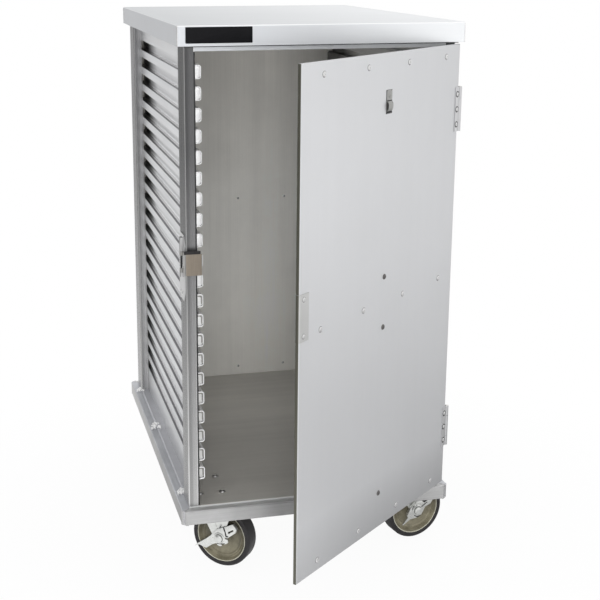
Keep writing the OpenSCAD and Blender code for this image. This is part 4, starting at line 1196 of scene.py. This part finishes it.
def lamp(name, at, aim, size, power):
    """A soft lamp that the metal doesn't mirror"""
    data = bpy.data.lights.new(name, "AREA")
    data.shape = "RECTANGLE"
    data.size, data.size_y = size
    data.energy = power
    light = bpy.data.objects.new(name, data)
    light.visible_glossy = False
    light.location = at
    light.rotation_euler = (Vector(aim) - Vector(at)).to_track_quat("-Z", "Y").to_euler()
    link(light)


class Backdrop(Finish):
    """The material of the world or the floor, which metal sees as white with a dark side to the left"""

    def __init__(self, tree):
        self.tree = tree
        self.path = self.add("LightPath")

    def shaded(self, way, reach):
        """White, but dark to the left, by a direction along X and how far that counts"""
        left = self.calculate("MULTIPLY", self.fade(way, *LEFT_FADE), reach)
        return self.between(left, 0.0, 1.0, 1.0, LEFT_SHADE)


def floor():
    """A pale floor, white to the camera and in reflections, that keeps a faint shadow near the rack"""
    deselect()
    bpy.ops.mesh.primitive_plane_add(size=60)
    ground = name_it(bpy.context.object, "studio_floor")
    material = bpy.data.materials.new("studio floor")
    material.use_nodes = True
    finish = Backdrop(material.node_tree)
    shader = finish.tree.nodes["Principled BSDF"]
    finish.set(shader, Base_Color=(0.86, 0.86, 0.86, 1), Roughness=0.9, Specular_IOR_Level=0.0)
    place = finish.add("TexCoord").outputs["Object"]
    far = finish.add("VectorMath", {"operation": "LENGTH"}, Vector=place).outputs["Value"]
    way = finish.split(finish.add("VectorMath", {"operation": "NORMALIZE"}, Vector=place).outputs["Vector"])
    dark = finish.shaded(way["X"], finish.fade(far, 0.7, 2.0))
    near = finish.calculate("MULTIPLY", finish.fade(way["X"], *RIGHT_FADE), finish.fade(far, 3.2, 0.8))
    mirrored_white = finish.calculate("MULTIPLY", dark, finish.between(near, 0.0, 1.0, 1.0, RIGHT_SHADE))
    ray = finish.path.outputs
    rays = finish.calculate("MAXIMUM", ray["Is Glossy Ray"], ray["Is Transmission Ray"])
    seen = finish.calculate("MAXIMUM", rays, ray["Is Camera Ray"])
    strength = finish.add("Mix", Factor=rays, A=1.0, B=mirrored_white).outputs["Result"]
    share = finish.calculate("MULTIPLY", seen, finish.between(far, 0.4, 1.0, 0.94, 1.0))
    glow = finish.add("Emission", Color=(1, 1, 1, 1), Strength=strength)
    mix = finish.add("MixShader", Fac=share)
    finish.plug(mix.inputs[1], shader.outputs["BSDF"])
    finish.plug(mix.inputs[2], glow.outputs["Emission"])
    finish.plug(finish.tree.nodes["Material Output"].inputs["Surface"], mix.outputs["Shader"])
    ground.data.materials.append(material)


def world():
    """White to the camera, white with a dark side to the left in the metal, and softer as light"""
    studio_world = bpy.data.worlds.new("studio")
    studio_world.use_nodes = True
    bpy.context.scene.world = studio_world
    finish = Backdrop(studio_world.node_tree)
    way = finish.split(finish.add("TexCoord").outputs["Generated"])
    strength = finish.shaded(way["X"], 1.0)
    for ray, level in (("Is Diffuse Ray", WORLD_LIGHT), ("Is Camera Ray", 1.0)):
        strength = finish.add("Mix", Factor=finish.path.outputs[ray], A=strength, B=level).outputs["Result"]
    finish.set(finish.tree.nodes["Background"], Color=(1, 1, 1, 1), Strength=strength)


def studio():
    camera()
    floor()
    world()
    lamp("key", (-1.8, -2.6, 2.7), (0, 0, 0.6), (1.6, 1.6), 14)
    lamp("doorway", (-0.62, -2.7, 0.8), (-0.12, 0.5, 0.5), (0.8, 0.8), 46)
    lamp("fill", (2.6, -1.2, 1.6), (0, 0, 0.5), (1.6, 2.2), 10)
    lamp("top", (0, 0.2, 3.0), (0, 0, 0.5), (2.2, 2.2), 12)
    bpy.context.scene.view_settings.view_transform = "Standard"


finish_frame()
pop_rivets("body_rivet_heads", "body_rivets", "cabinet")
pop_rivets("door_rivet_heads", "door_rivets", "door", 1.2)
rivet_shadow_rings()
cross_screws("door_screw_heads", "door_screws", "door")
front_plate()
canopy_shadow_strip()
ledge_ends()
post_shadow_strips()
rail_welds()
canopy_welds()
casters()
latch_spring()
latch_shadow_strip()
card_clip()
studio()
